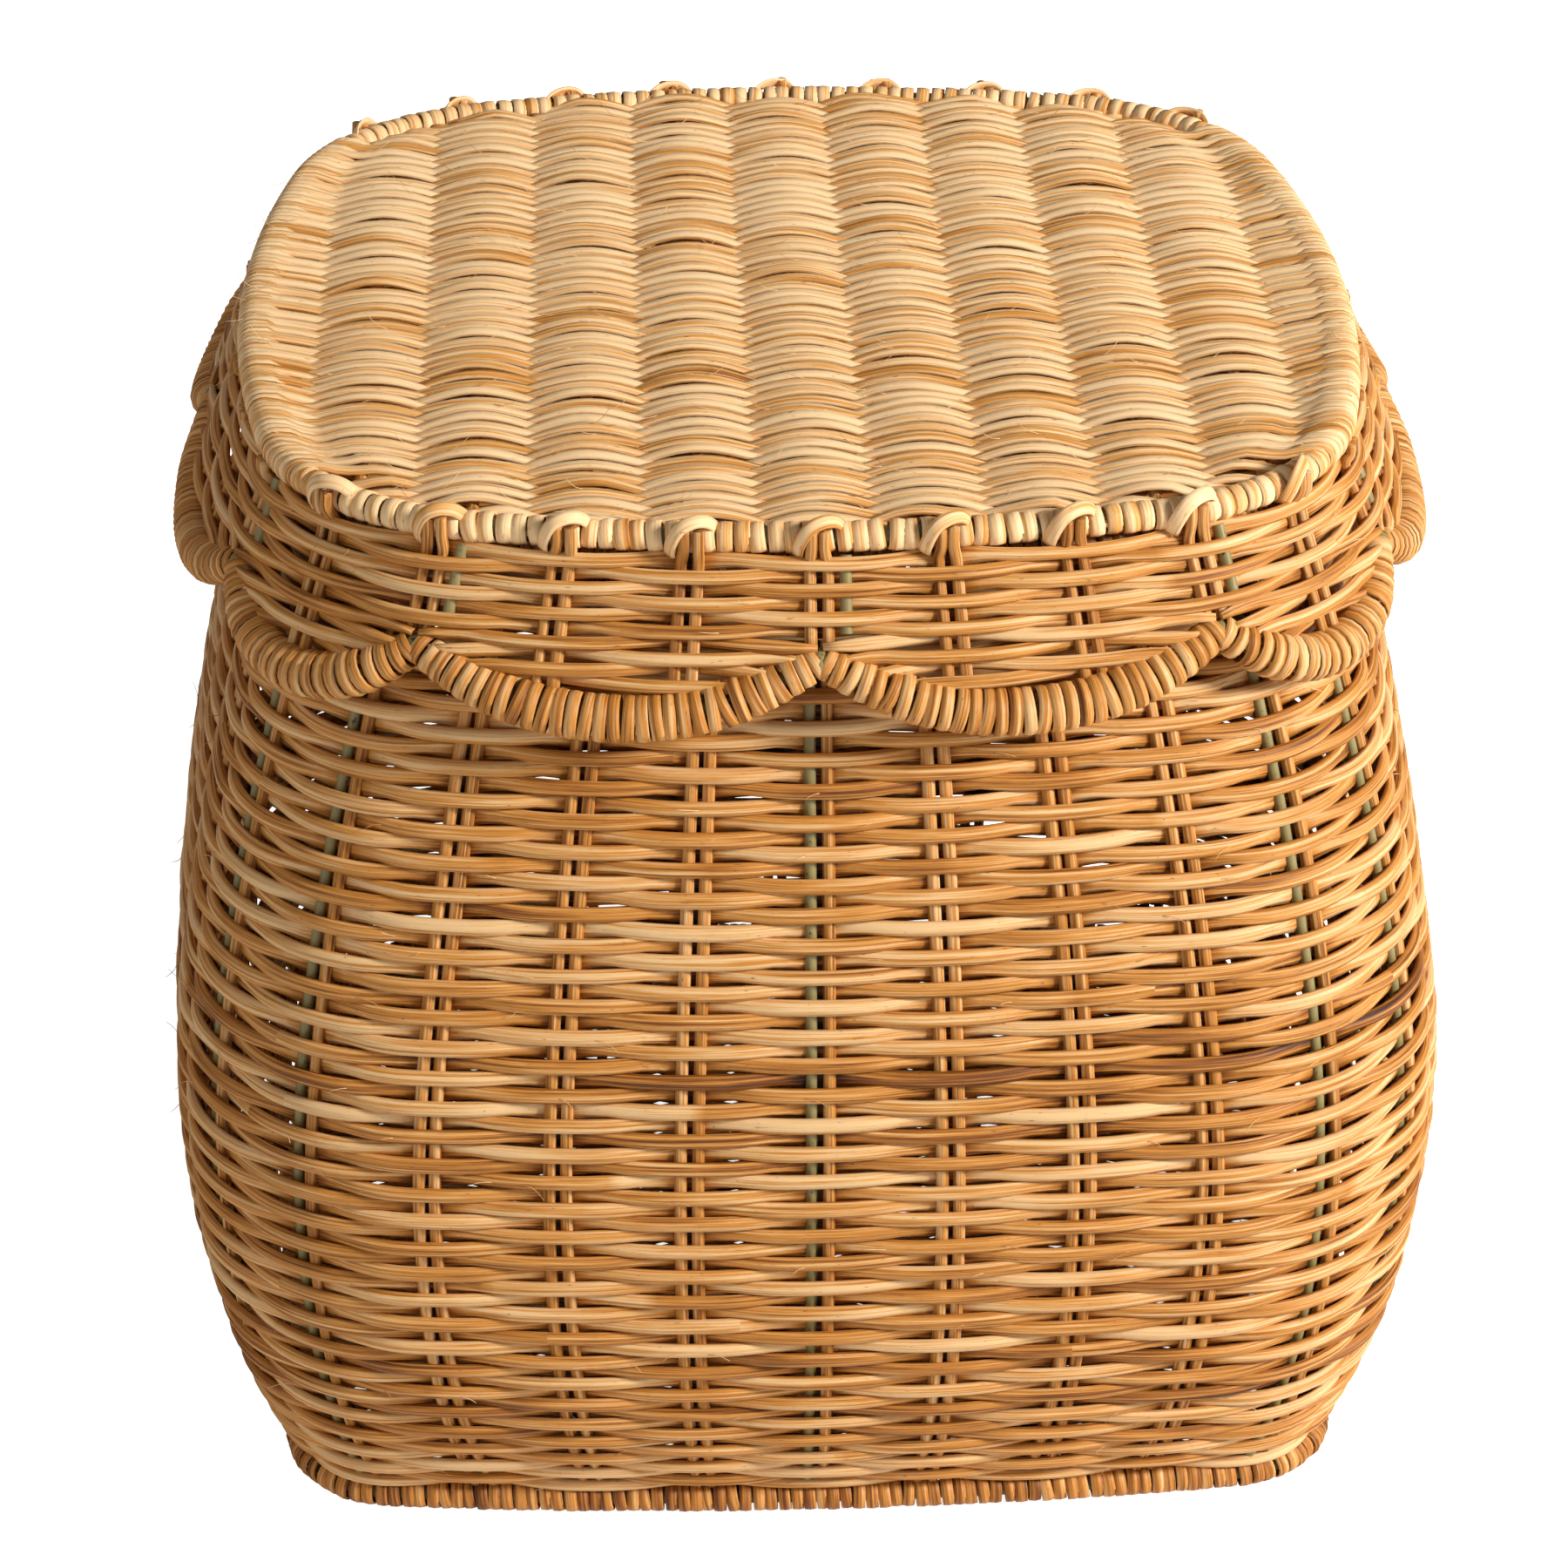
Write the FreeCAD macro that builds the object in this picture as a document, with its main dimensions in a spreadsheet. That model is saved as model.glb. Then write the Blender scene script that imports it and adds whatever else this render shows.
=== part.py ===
import FreeCAD, Part
import math
import os

from FreeCAD import Vector

# Laundry hamper with a lift-off lid: steel rings and rods, with rattan woven round them.
# Millimetres, +Z up. The origin is the middle of the base, on the surface it stands on.
# The front faces -Y. Uprights are numbered from the middle of the front, towards +X, and the
# skirt's pairs are numbered the same way. A scallop spans three pairs, or two round a corner.

SIZES = (
    # body wall, measured on the line of the stakes
    ("belly_half", 234.9, "half width at the belly"),
    ("belly_corner", 50.0, "how much further out the corners are than the sides, at the belly"),
    ("belly_height", 155.0, "height of the belly"),
    ("foot_inset", 40.0, "how far the sides draw in at the floor"),
    ("foot_corner", 58.0, "the corners' reach past the sides at the floor"),
    ("foot_curve", 2.4, "power of the curve from belly to foot"),
    ("neck_inset", 49.0, "how far the sides draw in at the mouth"),
    ("neck_corner", 28.3, "the corners' reach past the sides at the mouth"),
    ("neck_curve", 1.6, "power of the curve from belly to mouth"),
    ("side_radius", 1600.0, "radius of the slightly convex sides, up to the belly"),
    ("neck_side_radius", 510.0, "radius of the sides at the mouth"),
    ("body_height", 399.0, "top of the bound mouth"),
    # rattan and steel
    ("stake", 4.2, "diameter of stakes and rods"),
    ("pair_gap", 1.8, "gap between the two uprights of a pair"),
    ("strand", 3.2, "thickness of a weaver"),
    ("ring_rod", 6.0, "diameter of the steel rings"),
    ("binding", 12.0, "outside diameter of the body's bound rings"),
    ("rib", 4.4, "diameter of base and lid ribs"),
    ("panel", 11.4, "thickness of the woven base and top panels"),
    ("base_tread", 0.4, "how much the base binding is worn flat"),
    ("base_clearance", 0.2, "height of the base panel off the floor"),
    # lid
    ("lid_overhang", 9.3, "how far the lid's ring stands outside the mouth's"),
    ("lid_binding", 11.0, "outside diameter of the lid's bound rim"),
    ("skirt_clearance", 1.0, "inside of the skirt's top to the bound mouth"),
    ("skirt_gap", 8.8, "border to the wall inside it, at the sides"),
    ("skirt_corner_gap", 4.0, "border to the wall inside it, at the corners"),
    ("skirt_drop", 57.0, "lid ring down to the lowest point of the border's middle"),
    ("scallop_depth", 19.0, "height of a V above a scallop's lowest point"),
    ("border", 16.0, "outside diameter of the wrapped border"),
    ("border_wire", 5.0, "diameter of the wire in the border"),
    ("loop_cane", 4.0, "diameter of the loops over the rim"),
    ("wire_end_gap", 3.75, "middle of a V to the end of the border's wire"),
    ("border_end_gap", 7.2, "middle of a V to the end of the border's wrapping"),
    # fits
    ("lid_rest_gap", 0.3, "lid to mouth"),
    ("press_gap", 0.05, "between pieces that press on each other"),
    ("tongue_gap", 0.5, "weave of a scallop to its border"),
    ("stake_end_gap", 1.4, "ends of the wall's stakes to the bound rings"),
    ("channel_gap", 1.5, "round the stakes inside the weave, towards its faces"),
)
UPRIGHTS = 36
SKIRT_PAIRS = 32
RIBS = 9
VEES = (0, 3, 5, 8, 11, 13, 16, 19, 21, 24, 27, 29)
LEVEL_SHARES = (0.0, 0.08, 0.20, 0.36, 0.52, 0.68, 0.84, 1.0)
WIRE_RUNS = 8
LOOP_TURN = 114.0
SETTLING_ROUNDS = 5
SIDES = ("front", "right", "back", "left")
ROD_PLACES = (0, 4, 5, 9, 13, 14, 18, 22, 23, 27, 31, 32)

doc = FreeCAD.newDocument("hamper")
sheet = doc.addObject("Spreadsheet::Sheet", "Sizes")
for row, (alias, value, words) in enumerate(SIZES, 1):
    sheet.set("A%d" % row, words)
    sheet.set("B%d" % row, str(value))
    sheet.setAlias("B%d" % row, alias)
doc.recompute()


class Values:
    """The sheet's values as plain numbers."""


size = Values()
for alias, _, _ in SIZES:
    setattr(size, alias, float(getattr(sheet, alias)))

nodes = {}


def node(label, item):
    """Names a finished sub-part. Its label is its file's name."""
    item.Label = label
    nodes[label] = item
    return item


def bind(item, **expressions):
    """Binds properties to the sheet: bind(item, Radius="stake / 2")."""
    for name, text in expressions.items():
        for alias, _, _ in sorted(SIZES, key=lambda entry: -len(entry[0])):
            text = substitute(text, alias)
        item.setExpression(name.replace("__", "."), text)


def substitute(text, alias):
    """Writes Sizes. before an alias where it stands as a whole word."""
    out, word = [], ""
    for letter in text + " ":
        if letter.isalnum() or letter in "_.":
            word += letter
            continue
        out.append("Sizes." + word if word == alias else word)
        out.append(letter)
        word = ""
    return "".join(out).strip()


# ---------------------------------------------------------------- outline

class Outline:
    """A rounded square of four convex side arcs and four corner arcs, all tangent."""

    def __init__(self, half, diagonal, side):
        reach = side - half
        top = diagonal ** 2 + math.sqrt(2) * reach * diagonal + reach ** 2 - side ** 2
        under = 2 * diagonal + math.sqrt(2) * reach - 2 * side
        self.half, self.diagonal, self.side = half, diagonal, side
        self.corner = top / under
        self.corner_centre = (diagonal - self.corner) / math.sqrt(2)
        self.reach = reach
        # half the angle that a side arc spans, and the rest of the quarter turn
        self.side_angle = math.atan2(self.corner_centre, self.corner_centre + reach)
        self.corner_angle = math.pi / 2 - 2 * self.side_angle
        self.side_length = 2 * self.side_angle * side
        self.length = 4 * (self.side_length + self.corner_angle * self.corner)

    def moved_out(self, distance, at_corners=None):
        """The parallel outline, further out by distance, or by another distance at its corners."""
        corners = distance if at_corners is None else at_corners
        return Outline(self.half + distance, self.diagonal + corners, self.side + distance)

    def at(self, place):
        """(x, y, nx, ny) at place, a share of the length from the front's middle towards +X."""
        quarter, along = divmod((place % 1.0) * 4, 1.0)
        along = along * self.length / 4
        if along > self.length / 8:
            x, y, nx, ny = self.near_front(along - self.length / 4)
            x, y, nx, ny = -y, x, -ny, nx
        else:
            x, y, nx, ny = self.near_front(along)
        for _ in range(int(quarter)):
            x, y, nx, ny = -y, x, -ny, nx
        return x, y, nx, ny

    def near_front(self, along):
        """The same, at a signed length along the front, up to the corner's middle."""
        sign = -1.0 if along < 0 else 1.0
        along = abs(along)
        if along <= self.side_length / 2:
            angle = along / self.side
            x = self.side * math.sin(angle)
            y = self.reach - self.side * math.cos(angle)
        else:
            angle = self.side_angle + (along - self.side_length / 2) / self.corner
            x = self.corner_centre + self.corner * math.sin(angle)
            y = -self.corner_centre - self.corner * math.cos(angle)
        return sign * x, y, sign * math.sin(angle), -math.cos(angle)

    def depth_at(self, x):
        """How far the outline is from the X axis at x, on its front side arc."""
        if abs(x) < self.side * math.sin(self.side_angle):
            return math.sqrt(self.side ** 2 - x ** 2) - self.reach
        return self.corner_centre + math.sqrt(self.corner ** 2 - (abs(x) - self.corner_centre) ** 2)

    def wire(self, height):
        """A closed wire of eight arcs at this height."""
        joint = self.side_length / 2 / self.length
        places = []
        for quarter in range(4):
            places.append((quarter / 4 - joint, quarter / 4, quarter / 4 + joint))
            places.append((quarter / 4 + joint, quarter / 4 + 1 / 8, quarter / 4 + 1 / 4 - joint))
        edges = []
        for three in places:
            points = [Vector(*self.at(place)[:2], height) for place in three]
            edges.append(Part.Arc(*points).toShape())
        return Part.Wire(edges)


def wall_outline(height):
    """The body's stake line at this height."""
    below = max(0.0, (size.belly_height - height) / size.belly_height)
    above = max(0.0, (height - size.belly_height) / (size.body_height - size.belly_height))
    foot = below ** size.foot_curve
    neck = above ** size.neck_curve
    half = size.belly_half - size.foot_inset * foot - size.neck_inset * neck
    corner = size.belly_corner
    corner += (size.foot_corner - size.belly_corner) * foot
    corner += (size.neck_corner - size.belly_corner) * neck
    bend = 1 / size.side_radius
    bend += (1 / size.neck_side_radius - bend) * neck
    return Outline(half, half + corner, 1 / bend)


wall_half_thickness = size.stake / 2 + size.strand
base_ring_height = size.binding / 2 - size.base_tread
mouth_ring_height = size.body_height - size.binding / 2
lid_ring_height = size.body_height + size.lid_rest_gap + size.panel / 2 + size.press_gap
wall_bottom = base_ring_height + size.binding / 2 + size.press_gap
wall_top = mouth_ring_height - size.binding / 2 - size.press_gap
base_outline = wall_outline(wall_bottom)
mouth_outline = wall_outline(wall_top)
lid_outline = mouth_outline.moved_out(size.lid_overhang)


# ---------------------------------------------------------------- shapes

def tube(wire, radius):
    """A solid round rod along a wire of lines and tangent arcs."""
    start = wire.OrderedEdges[0]
    first = start.ParameterRange[0]
    point = start.valueAt(first)
    along = start.tangentAt(first)
    if point.distanceToPoint(wire.OrderedVertexes[0].Point) > 1e-6:
        point = start.valueAt(start.ParameterRange[1])
        along = start.tangentAt(start.ParameterRange[1]) * -1
    section = Part.Wire([Part.makeCircle(radius, point, along)])
    rod = wire.makePipeShell([section], True, False)
    if rod.Volume < 0:
        rod.reverse()
    return rod


def rounded_path(points, share=0.45):
    """Straight runs joined by tangent arcs, each as large as its two runs allow."""
    edges, start = [], points[0]
    for before, corner, after in zip(points, points[1:], points[2:]):
        to_before = (before - corner).normalize()
        to_after = (after - corner).normalize()
        turn = math.pi - to_before.getAngle(to_after)
        if turn < 1e-4:
            continue
        reach = share * min(before.distanceToPoint(corner), after.distanceToPoint(corner))
        radius = reach / math.tan(turn / 2)
        middle = (to_before + to_after).normalize()
        centre = corner + middle * (radius / math.cos(turn / 2))
        bend = [corner + to_before * reach, centre - middle * radius, corner + to_after * reach]
        edges.append(Part.makeLine(start, bend[0]))
        edges.append(Part.Arc(*bend).toShape())
        start = bend[2]
    edges.append(Part.makeLine(start, points[-1]))
    return Part.Wire(edges)


def group(label, shapes):
    """One node of separate solids, built in code because their paths are space curves."""
    item = doc.addObject("Part::Feature", label)
    item.Shape = shapes[0] if len(shapes) == 1 else Part.makeCompound(shapes)
    return node(label, item)


def helper(name, shape):
    item = doc.addObject("Part::Feature", name)
    item.Shape = shape
    return item


def cut(label, base, tool):
    item = doc.addObject("Part::Cut", label)
    item.Base = base
    item.Tool = tool
    return item


# ---------------------------------------------------------------- body frame

def section_disc(name, outline, height, diameter):
    """A circle across the ring's path at the middle of the front, sized from the sheet."""
    x, y, nx, ny = outline.at(-outline.side_length / 2 / outline.length)
    disc = doc.addObject("Part::Circle", name)
    bind(disc, Radius=diameter + " / 2")
    turn = FreeCAD.Rotation(Vector(0, 0, 1), Vector(-ny, nx, 0))
    disc.Placement = FreeCAD.Placement(Vector(x, y, height), turn)
    return disc


def swept_ring(name, outline, height, diameter):
    """A closed ring as a sweep of a bound circle along the eight arcs."""
    path = helper(name + "_path", outline.wire(height))
    disc = section_disc(name + "_section", outline, height, diameter)
    sweep = doc.addObject("Part::Sweep", name)
    sweep.Sections = [disc]
    sweep.Spine = (path, ["Edge%d" % (index + 1) for index in range(8)])
    sweep.Solid = True
    sweep.Frenet = False
    return sweep


def bound_ring(label, outline, height, diameter, holes=None):
    """A binding: a ring of cane round a steel ring, open where rods pass into it."""
    outside = swept_ring(label + "_outside", outline, height, diameter)
    core = swept_ring(label + "_bore", outline, height, "(ring_rod + 2 * press_gap)")
    item = cut(label, outside, core)
    if holes is not None:
        item = cut(label + "_pierced", item, holes)
    return item


def upright_frame(outline, place, across, count=UPRIGHTS):
    """Plan position of an upright: across is its distance along the wall from its place."""
    x, y, nx, ny = outline.at(place / count)
    return x - ny * across, y + nx * across


pair_step = (size.stake + size.pair_gap) / 2
levels = [wall_bottom + (wall_top - wall_bottom) * share for share in LEVEL_SHARES]


def upright(place, across, bottom, top, radius=size.stake / 2):
    """One body upright, from bottom to top, following the wall's profile."""
    points = []
    for height in [bottom] + levels[1:-1] + [top]:
        outline = wall_outline(min(max(height, wall_bottom), wall_top))
        points.append(Vector(*upright_frame(outline, place, across), height))
    return tube(rounded_path(points), radius)


def side_of(place):
    return SIDES[int(((place + UPRIGHTS / 8) % UPRIGHTS) // (UPRIGHTS / 4))]


node("base_ring", swept_ring("base_ring", base_outline, base_ring_height, "ring_rod"))
node("mouth_ring", swept_ring("mouth_ring", mouth_outline, mouth_ring_height, "ring_rod"))

rods = {side: [] for side in SIDES}
stakes = {side: [] for side in SIDES}
rod_holes = []
rod_bottom = base_ring_height + size.ring_rod / 2 + size.press_gap
rod_top = mouth_ring_height - size.ring_rod / 2 - size.press_gap
stake_bottom = wall_bottom + size.stake_end_gap
stake_top = wall_top - size.stake_end_gap
for place in range(UPRIGHTS):
    for across in (-pair_step, pair_step):
        if place in ROD_PLACES and across < 0:
            rods[side_of(place)].append(upright(place, across, rod_bottom, rod_top))
            rod_holes.append(upright(
                place, across, rod_bottom - size.press_gap, rod_top + size.press_gap,
                size.stake / 2 + size.press_gap))
        else:
            stakes[side_of(place)].append(upright(place, across, stake_bottom, stake_top))
for side in SIDES:
    group("wall_rods_" + side, rods[side])
    group("wall_stakes_" + side, stakes[side])

holes = helper("rod_holes", Part.makeCompound(rod_holes))
base_tube = bound_ring("base_binding", base_outline, base_ring_height, "binding", holes)
floor = doc.addObject("Part::Box", "floor")
bind(floor, Length="4 * belly_half", Width="4 * belly_half", Height="binding",
     Placement__Base__x="-2 * belly_half", Placement__Base__y="-2 * belly_half",
     Placement__Base__z="-1 * binding")
node("base_binding", cut("base_binding_flat", base_tube, floor))
holes_above = helper("rod_holes_above", Part.makeCompound(rod_holes))
node("mouth_binding",
     bound_ring("mouth_binding", mouth_outline, mouth_ring_height, "binding", holes_above))


# ---------------------------------------------------------------- body weave

def slot_wire(place, height):
    """The open space round one pair of uprights, across the wall at this height."""
    outline = wall_outline(height)
    wide = size.stake + size.pair_gap / 2 + size.channel_gap / 2
    deep = size.stake / 2 + size.channel_gap
    x, y, nx, ny = outline.at(place / UPRIGHTS)
    corners = []
    for across, out in ((-wide, -deep), (wide, -deep), (wide, deep), (-wide, deep)):
        corners.append(Vector(x - ny * across + nx * out, y + nx * across + ny * out, height))
    return Part.makePolygon(corners + corners[:1])


def loft(name, wires):
    """A ruled loft of closed outlines."""
    item = doc.addObject("Part::Loft", name)
    item.Sections = [helper("%s_section_%d" % (name, index), wire)
                     for index, wire in enumerate(wires, 1)]
    item.Solid = True
    item.Ruled = True
    return item


for band, ends in enumerate(zip(levels, levels[1:]), 1):
    label = "wall_weave_%d" % band
    faces = {}
    for name, out in (("outside", wall_half_thickness), ("inside", -wall_half_thickness)):
        wires = [wall_outline(height).moved_out(out).wire(height) for height in ends]
        faces[name] = loft("%s_%s" % (label, name), wires)
    shell = cut(label + "_shell", faces["outside"], faces["inside"])
    slots = [Part.makeLoft([slot_wire(place, height) for height in ends], True, True)
             for place in range(UPRIGHTS)]
    slots = helper(label + "_slots", Part.makeCompound(slots))
    node(label, cut(label, shell, slots))


# ---------------------------------------------------------------- panels

def panel(label, outline, middle_height, rib_label):
    """A woven panel inside a bound ring, and the ribs that it is woven on."""
    edge = outline.moved_out(-size.press_gap)
    pitch = 2 * outline.half / (RIBS + 1)
    face = Part.Face(edge.wire(middle_height - size.panel / 2))
    plate = helper(label + "_plate", face.extrude(Vector(0, 0, size.panel)))
    bores = []
    for index in range(RIBS):
        x = pitch * (index - (RIBS - 1) / 2)
        reach = edge.depth_at(x) - size.rib
        rib = doc.addObject("Part::Cylinder", "%s_%d" % (rib_label, index + 1))
        bind(rib, Radius="rib / 2")
        rib.Height = 2 * reach
        rib.Placement = FreeCAD.Placement(
            Vector(x, reach, middle_height), FreeCAD.Rotation(Vector(1, 0, 0), 90))
        node("%s_%d" % (rib_label, index + 1), rib)
        bores.append(Part.makeCylinder(
            size.rib / 2 + size.press_gap, 2 * reach + 2 * size.press_gap,
            Vector(x, -reach - size.press_gap, middle_height), Vector(0, 1, 0)))
    bores = helper(label + "_bores", Part.makeCompound(bores))
    return node(label, cut(label, plate, bores))


panel("base_weave", base_outline.moved_out(-size.binding / 2),
      size.base_clearance + size.panel / 2, "base_rib")
panel("lid_top_weave", lid_outline.moved_out(-size.lid_binding / 2), lid_ring_height, "lid_rib")


# ---------------------------------------------------------------- lid rim and skirt

node("lid_ring", swept_ring("lid_ring", lid_outline, lid_ring_height, "ring_rod"))
node("lid_binding", bound_ring("lid_binding", lid_outline, lid_ring_height, "lid_binding"))

skirt_top = lid_ring_height - size.lid_binding / 2 - size.press_gap
skirt_bottom = lid_ring_height - size.skirt_drop
weave_bottom = skirt_bottom + size.scallop_depth + size.border / 2
border_stand_off = wall_half_thickness + size.border / 2
skirt_high_outline = mouth_outline.moved_out(
    size.binding / 2 + size.skirt_clearance + wall_half_thickness)
skirt_low_outline = wall_outline(skirt_bottom).moved_out(
    border_stand_off + size.skirt_gap, border_stand_off + size.skirt_corner_gap)


def skirt_outline(height):
    """The skirt's stake line at this height, between its top and its lowest."""
    share = (skirt_top - height) / (skirt_top - skirt_bottom)
    high, low = skirt_high_outline, skirt_low_outline
    return Outline(
        high.half + (low.half - high.half) * share,
        high.diagonal + (low.diagonal - high.diagonal) * share,
        high.side + (low.side - high.side) * share)


def skirt_point(place, across, height):
    """A point of the skirt, across along it from its place, on a straight line from top to bottom."""
    ends = []
    for outline, level in ((skirt_high_outline, skirt_top), (skirt_low_outline, skirt_bottom)):
        ends.append(Vector(*upright_frame(outline, place, across, SKIRT_PAIRS), level))
    return ends[0] + (ends[1] - ends[0]) * ((skirt_top - height) / (skirt_top - skirt_bottom))


class Scallop:
    """One scallop of the border, between two Vs, drawn in the upright plane through both."""

    def __init__(self, first, last):
        self.first, self.span = first, last - first
        depth = size.scallop_depth
        ends = [skirt_point(place, 0, skirt_bottom + depth) for place in (first, last)]
        self.middle = (ends[0] + ends[1]) / 2
        self.across = (ends[1] - ends[0]).normalize()
        self.normal = Vector(self.across.y, -self.across.x, 0)
        self.half_chord = ends[0].distanceToPoint(ends[1]) / 2
        self.radius = (self.half_chord ** 2 + depth ** 2) / (2 * depth)
        self.centre_height = skirt_bottom + self.radius

    def height_at(self, point):
        """The border's height where a point lies along the scallop."""
        along = (point - self.middle).dot(self.across)
        return self.centre_height - math.sqrt(max(0.0, self.radius ** 2 - along ** 2))

    def border_point(self, share):
        """The border's middle line, at a share of the way from V to V."""
        place = self.first + self.span * share
        point = skirt_point(place, 0, skirt_bottom + size.scallop_depth)
        for _ in range(SETTLING_ROUNDS):
            point = skirt_point(place, 0, self.height_at(point))
        return point

    def border_path(self, end):
        """The border's middle line, stopping short of each V by a share of its length."""
        shares = [index / WIRE_RUNS for index in range(1, WIRE_RUNS)]
        return rounded_path([self.border_point(share) for share in [end] + shares + [1 - end]])

    def barrel(self, inset):
        """A round bar through the skirt, its edge inset above the border's middle line."""
        start = self.middle - self.normal * lid_outline.half / 2
        start = Vector(start.x, start.y, self.centre_height)
        return Part.makeCylinder(self.radius - inset, lid_outline.half, start, self.normal)


scallops = [Scallop(*ends) for ends in zip(VEES, VEES[1:] + (SKIRT_PAIRS,))]
border_inset = size.border / 2 + size.tongue_gap


def skirt_stake_bottom(place, across):
    """Height at which a skirt stake meets the inside of the border."""
    scallop = [item for item in scallops if item.first < place][-1]
    point = skirt_point(place, across, weave_bottom)
    along = (point - scallop.middle).dot(scallop.across)
    inside = scallop.radius - border_inset - size.stake / 2
    return scallop.centre_height - math.sqrt(max(0.0, inside ** 2 - along ** 2)) + size.stake / 4


def skirt_rod(place, across, bottom, radius):
    """A straight rod in the skirt, from under the rim down to bottom."""
    low = skirt_point(place, across, bottom)
    high = skirt_point(place, across, skirt_top)
    return Part.makeCylinder(radius, low.distanceToPoint(high), low, high - low)


drop_across = 3 * pair_step
skirt_stakes, drop_rods, sockets = [], [], []
for place in range(SKIRT_PAIRS):
    vee = place in VEES
    for across in (-pair_step, pair_step):
        bottom = weave_bottom if vee else skirt_stake_bottom(place, across)
        skirt_stakes.append(skirt_rod(place, across, bottom, size.stake / 2))
        sockets.append(skirt_rod(place, across, skirt_bottom, size.stake / 2 + size.press_gap))
    if vee:
        drop_rods.append(skirt_rod(place, drop_across, weave_bottom, size.stake / 2))
        sockets.append(skirt_rod(place, drop_across, skirt_bottom, size.stake / 2 + size.press_gap))
group("skirt_stakes", skirt_stakes)
group("drop_rods", drop_rods)

skirt_parts = {}
for name, top, bottom in (("upper", skirt_top, weave_bottom), ("lower", weave_bottom, skirt_bottom)):
    faces = {}
    for face, out in (("outside", wall_half_thickness), ("inside", -wall_half_thickness)):
        wires = [skirt_outline(height).moved_out(out).wire(height) for height in (bottom, top)]
        faces[face] = loft("skirt_%s_%s" % (name, face), wires)
    skirt_parts[name] = cut("skirt_%s_shell" % name, faces["outside"], faces["inside"])
socket_shapes = Part.makeCompound(sockets)
node("skirt_weave",
     cut("skirt_weave", skirt_parts["upper"], helper("skirt_sockets", socket_shapes)))
doc.recompute()
tongues = []
for scallop in scallops:
    tongue = skirt_parts["lower"].Shape.common(scallop.barrel(border_inset))
    inside = [socket for socket in sockets if tongue.BoundBox.intersect(socket.BoundBox)]
    tongues.append(tongue.cut(Part.makeCompound(inside)))
group("scallop_weave", tongues)

wires = []
for number, scallop in enumerate(scallops, 1):
    scallop_length = scallop.span * lid_outline.length / SKIRT_PAIRS
    wire_path = scallop.border_path(size.wire_end_gap / scallop_length)
    wires.append(tube(wire_path, size.border_wire / 2))
    sleeve = tube(scallop.border_path(size.border_end_gap / scallop_length), size.border / 2)
    bore = tube(wire_path, size.border_wire / 2 + size.press_gap)
    group("scallop_binding_%d" % number, [sleeve.cut(bore)])
group("scallop_wires", wires)

loops = []
loop_radius = size.lid_binding / 2 + size.press_gap + size.loop_cane / 2
half_ribs = (RIBS - 1) // 2
front_ends = list(range(-half_ribs, half_ribs + 1))
back_ends = [end + SKIRT_PAIRS // 2 for end in front_ends]
for place in front_ends + back_ends:
    x, y, nx, ny = lid_outline.at(place / SKIRT_PAIRS)
    profile = []
    for angle in (0.0, LOOP_TURN / 2, LOOP_TURN):
        turn = math.radians(angle)
        out = loop_radius * math.cos(turn)
        up = loop_radius * math.sin(turn)
        profile.append(Vector(x + nx * out, y + ny * out, lid_ring_height + up))
    foot = Vector(profile[0].x, profile[0].y, skirt_top + size.press_gap)
    path = Part.Wire([Part.makeLine(foot, profile[0]), Part.Arc(*profile).toShape()])
    loops.append(tube(path, size.loop_cane / 2))
group("lid_loops", loops)


# ---------------------------------------------------------------- check and export

doc.recompute()
for item in doc.Objects:
    bad = [state for state in item.State if state in ("Invalid", "Error")]
    if bad:
        raise RuntimeError("%s: %s" % (item.Label, bad))
os.makedirs("parts", exist_ok=True)
for label, item in sorted(nodes.items()):
    shape = item.Shape
    if shape.isNull() or not shape.isValid() or not shape.Solids:
        raise RuntimeError("%s has no valid solid" % label)
    if shape.Volume <= 0:
        raise RuntimeError("%s is inside out" % label)
    shape.exportStep("parts/%s.step" % label)
    print("%-20s solids %3d  volume %9.1f cm3" % (label, len(shape.Solids), shape.Volume / 1000))
print("%d nodes" % len(nodes))
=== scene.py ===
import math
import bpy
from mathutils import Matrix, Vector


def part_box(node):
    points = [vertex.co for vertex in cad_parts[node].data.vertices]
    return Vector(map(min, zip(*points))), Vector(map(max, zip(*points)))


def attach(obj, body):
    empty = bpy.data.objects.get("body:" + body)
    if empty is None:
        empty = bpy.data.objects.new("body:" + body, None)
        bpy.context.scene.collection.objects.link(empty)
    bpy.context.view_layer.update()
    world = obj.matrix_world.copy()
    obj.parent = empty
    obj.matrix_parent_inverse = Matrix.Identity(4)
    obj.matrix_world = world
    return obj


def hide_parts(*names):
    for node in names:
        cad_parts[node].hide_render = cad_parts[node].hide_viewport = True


bl_info = {
    "name": "Woven hamper",
    "version": (1, 0, 0),
    "blender": (4, 5, 0),
    "location": "3D View > Sidebar > Hamper",
    "description": "Weaves a rattan laundry hamper and its lid round their steel frame",
    "category": "Object",
}

import bpy
import numpy as np
from mathutils import Matrix, Vector

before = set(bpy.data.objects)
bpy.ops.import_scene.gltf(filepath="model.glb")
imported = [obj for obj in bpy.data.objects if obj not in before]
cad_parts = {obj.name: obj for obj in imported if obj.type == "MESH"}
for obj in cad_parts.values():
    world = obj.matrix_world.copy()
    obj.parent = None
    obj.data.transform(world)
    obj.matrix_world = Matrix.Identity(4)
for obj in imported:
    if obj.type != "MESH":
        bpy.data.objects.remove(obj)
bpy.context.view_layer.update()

# Metres, +Z up. The front faces -Y. Uprights are numbered from the middle of the front,
# towards +X, and a place is a share of the way round, counted the same way.

UPRIGHTS = 36
SKIRT_PAIRS = 32
RIBS = 9
# the skirt's pairs that stand at a V of its border
VEES = (0, 3, 5, 8, 11, 13, 16, 19, 21, 24, 27, 29)
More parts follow.
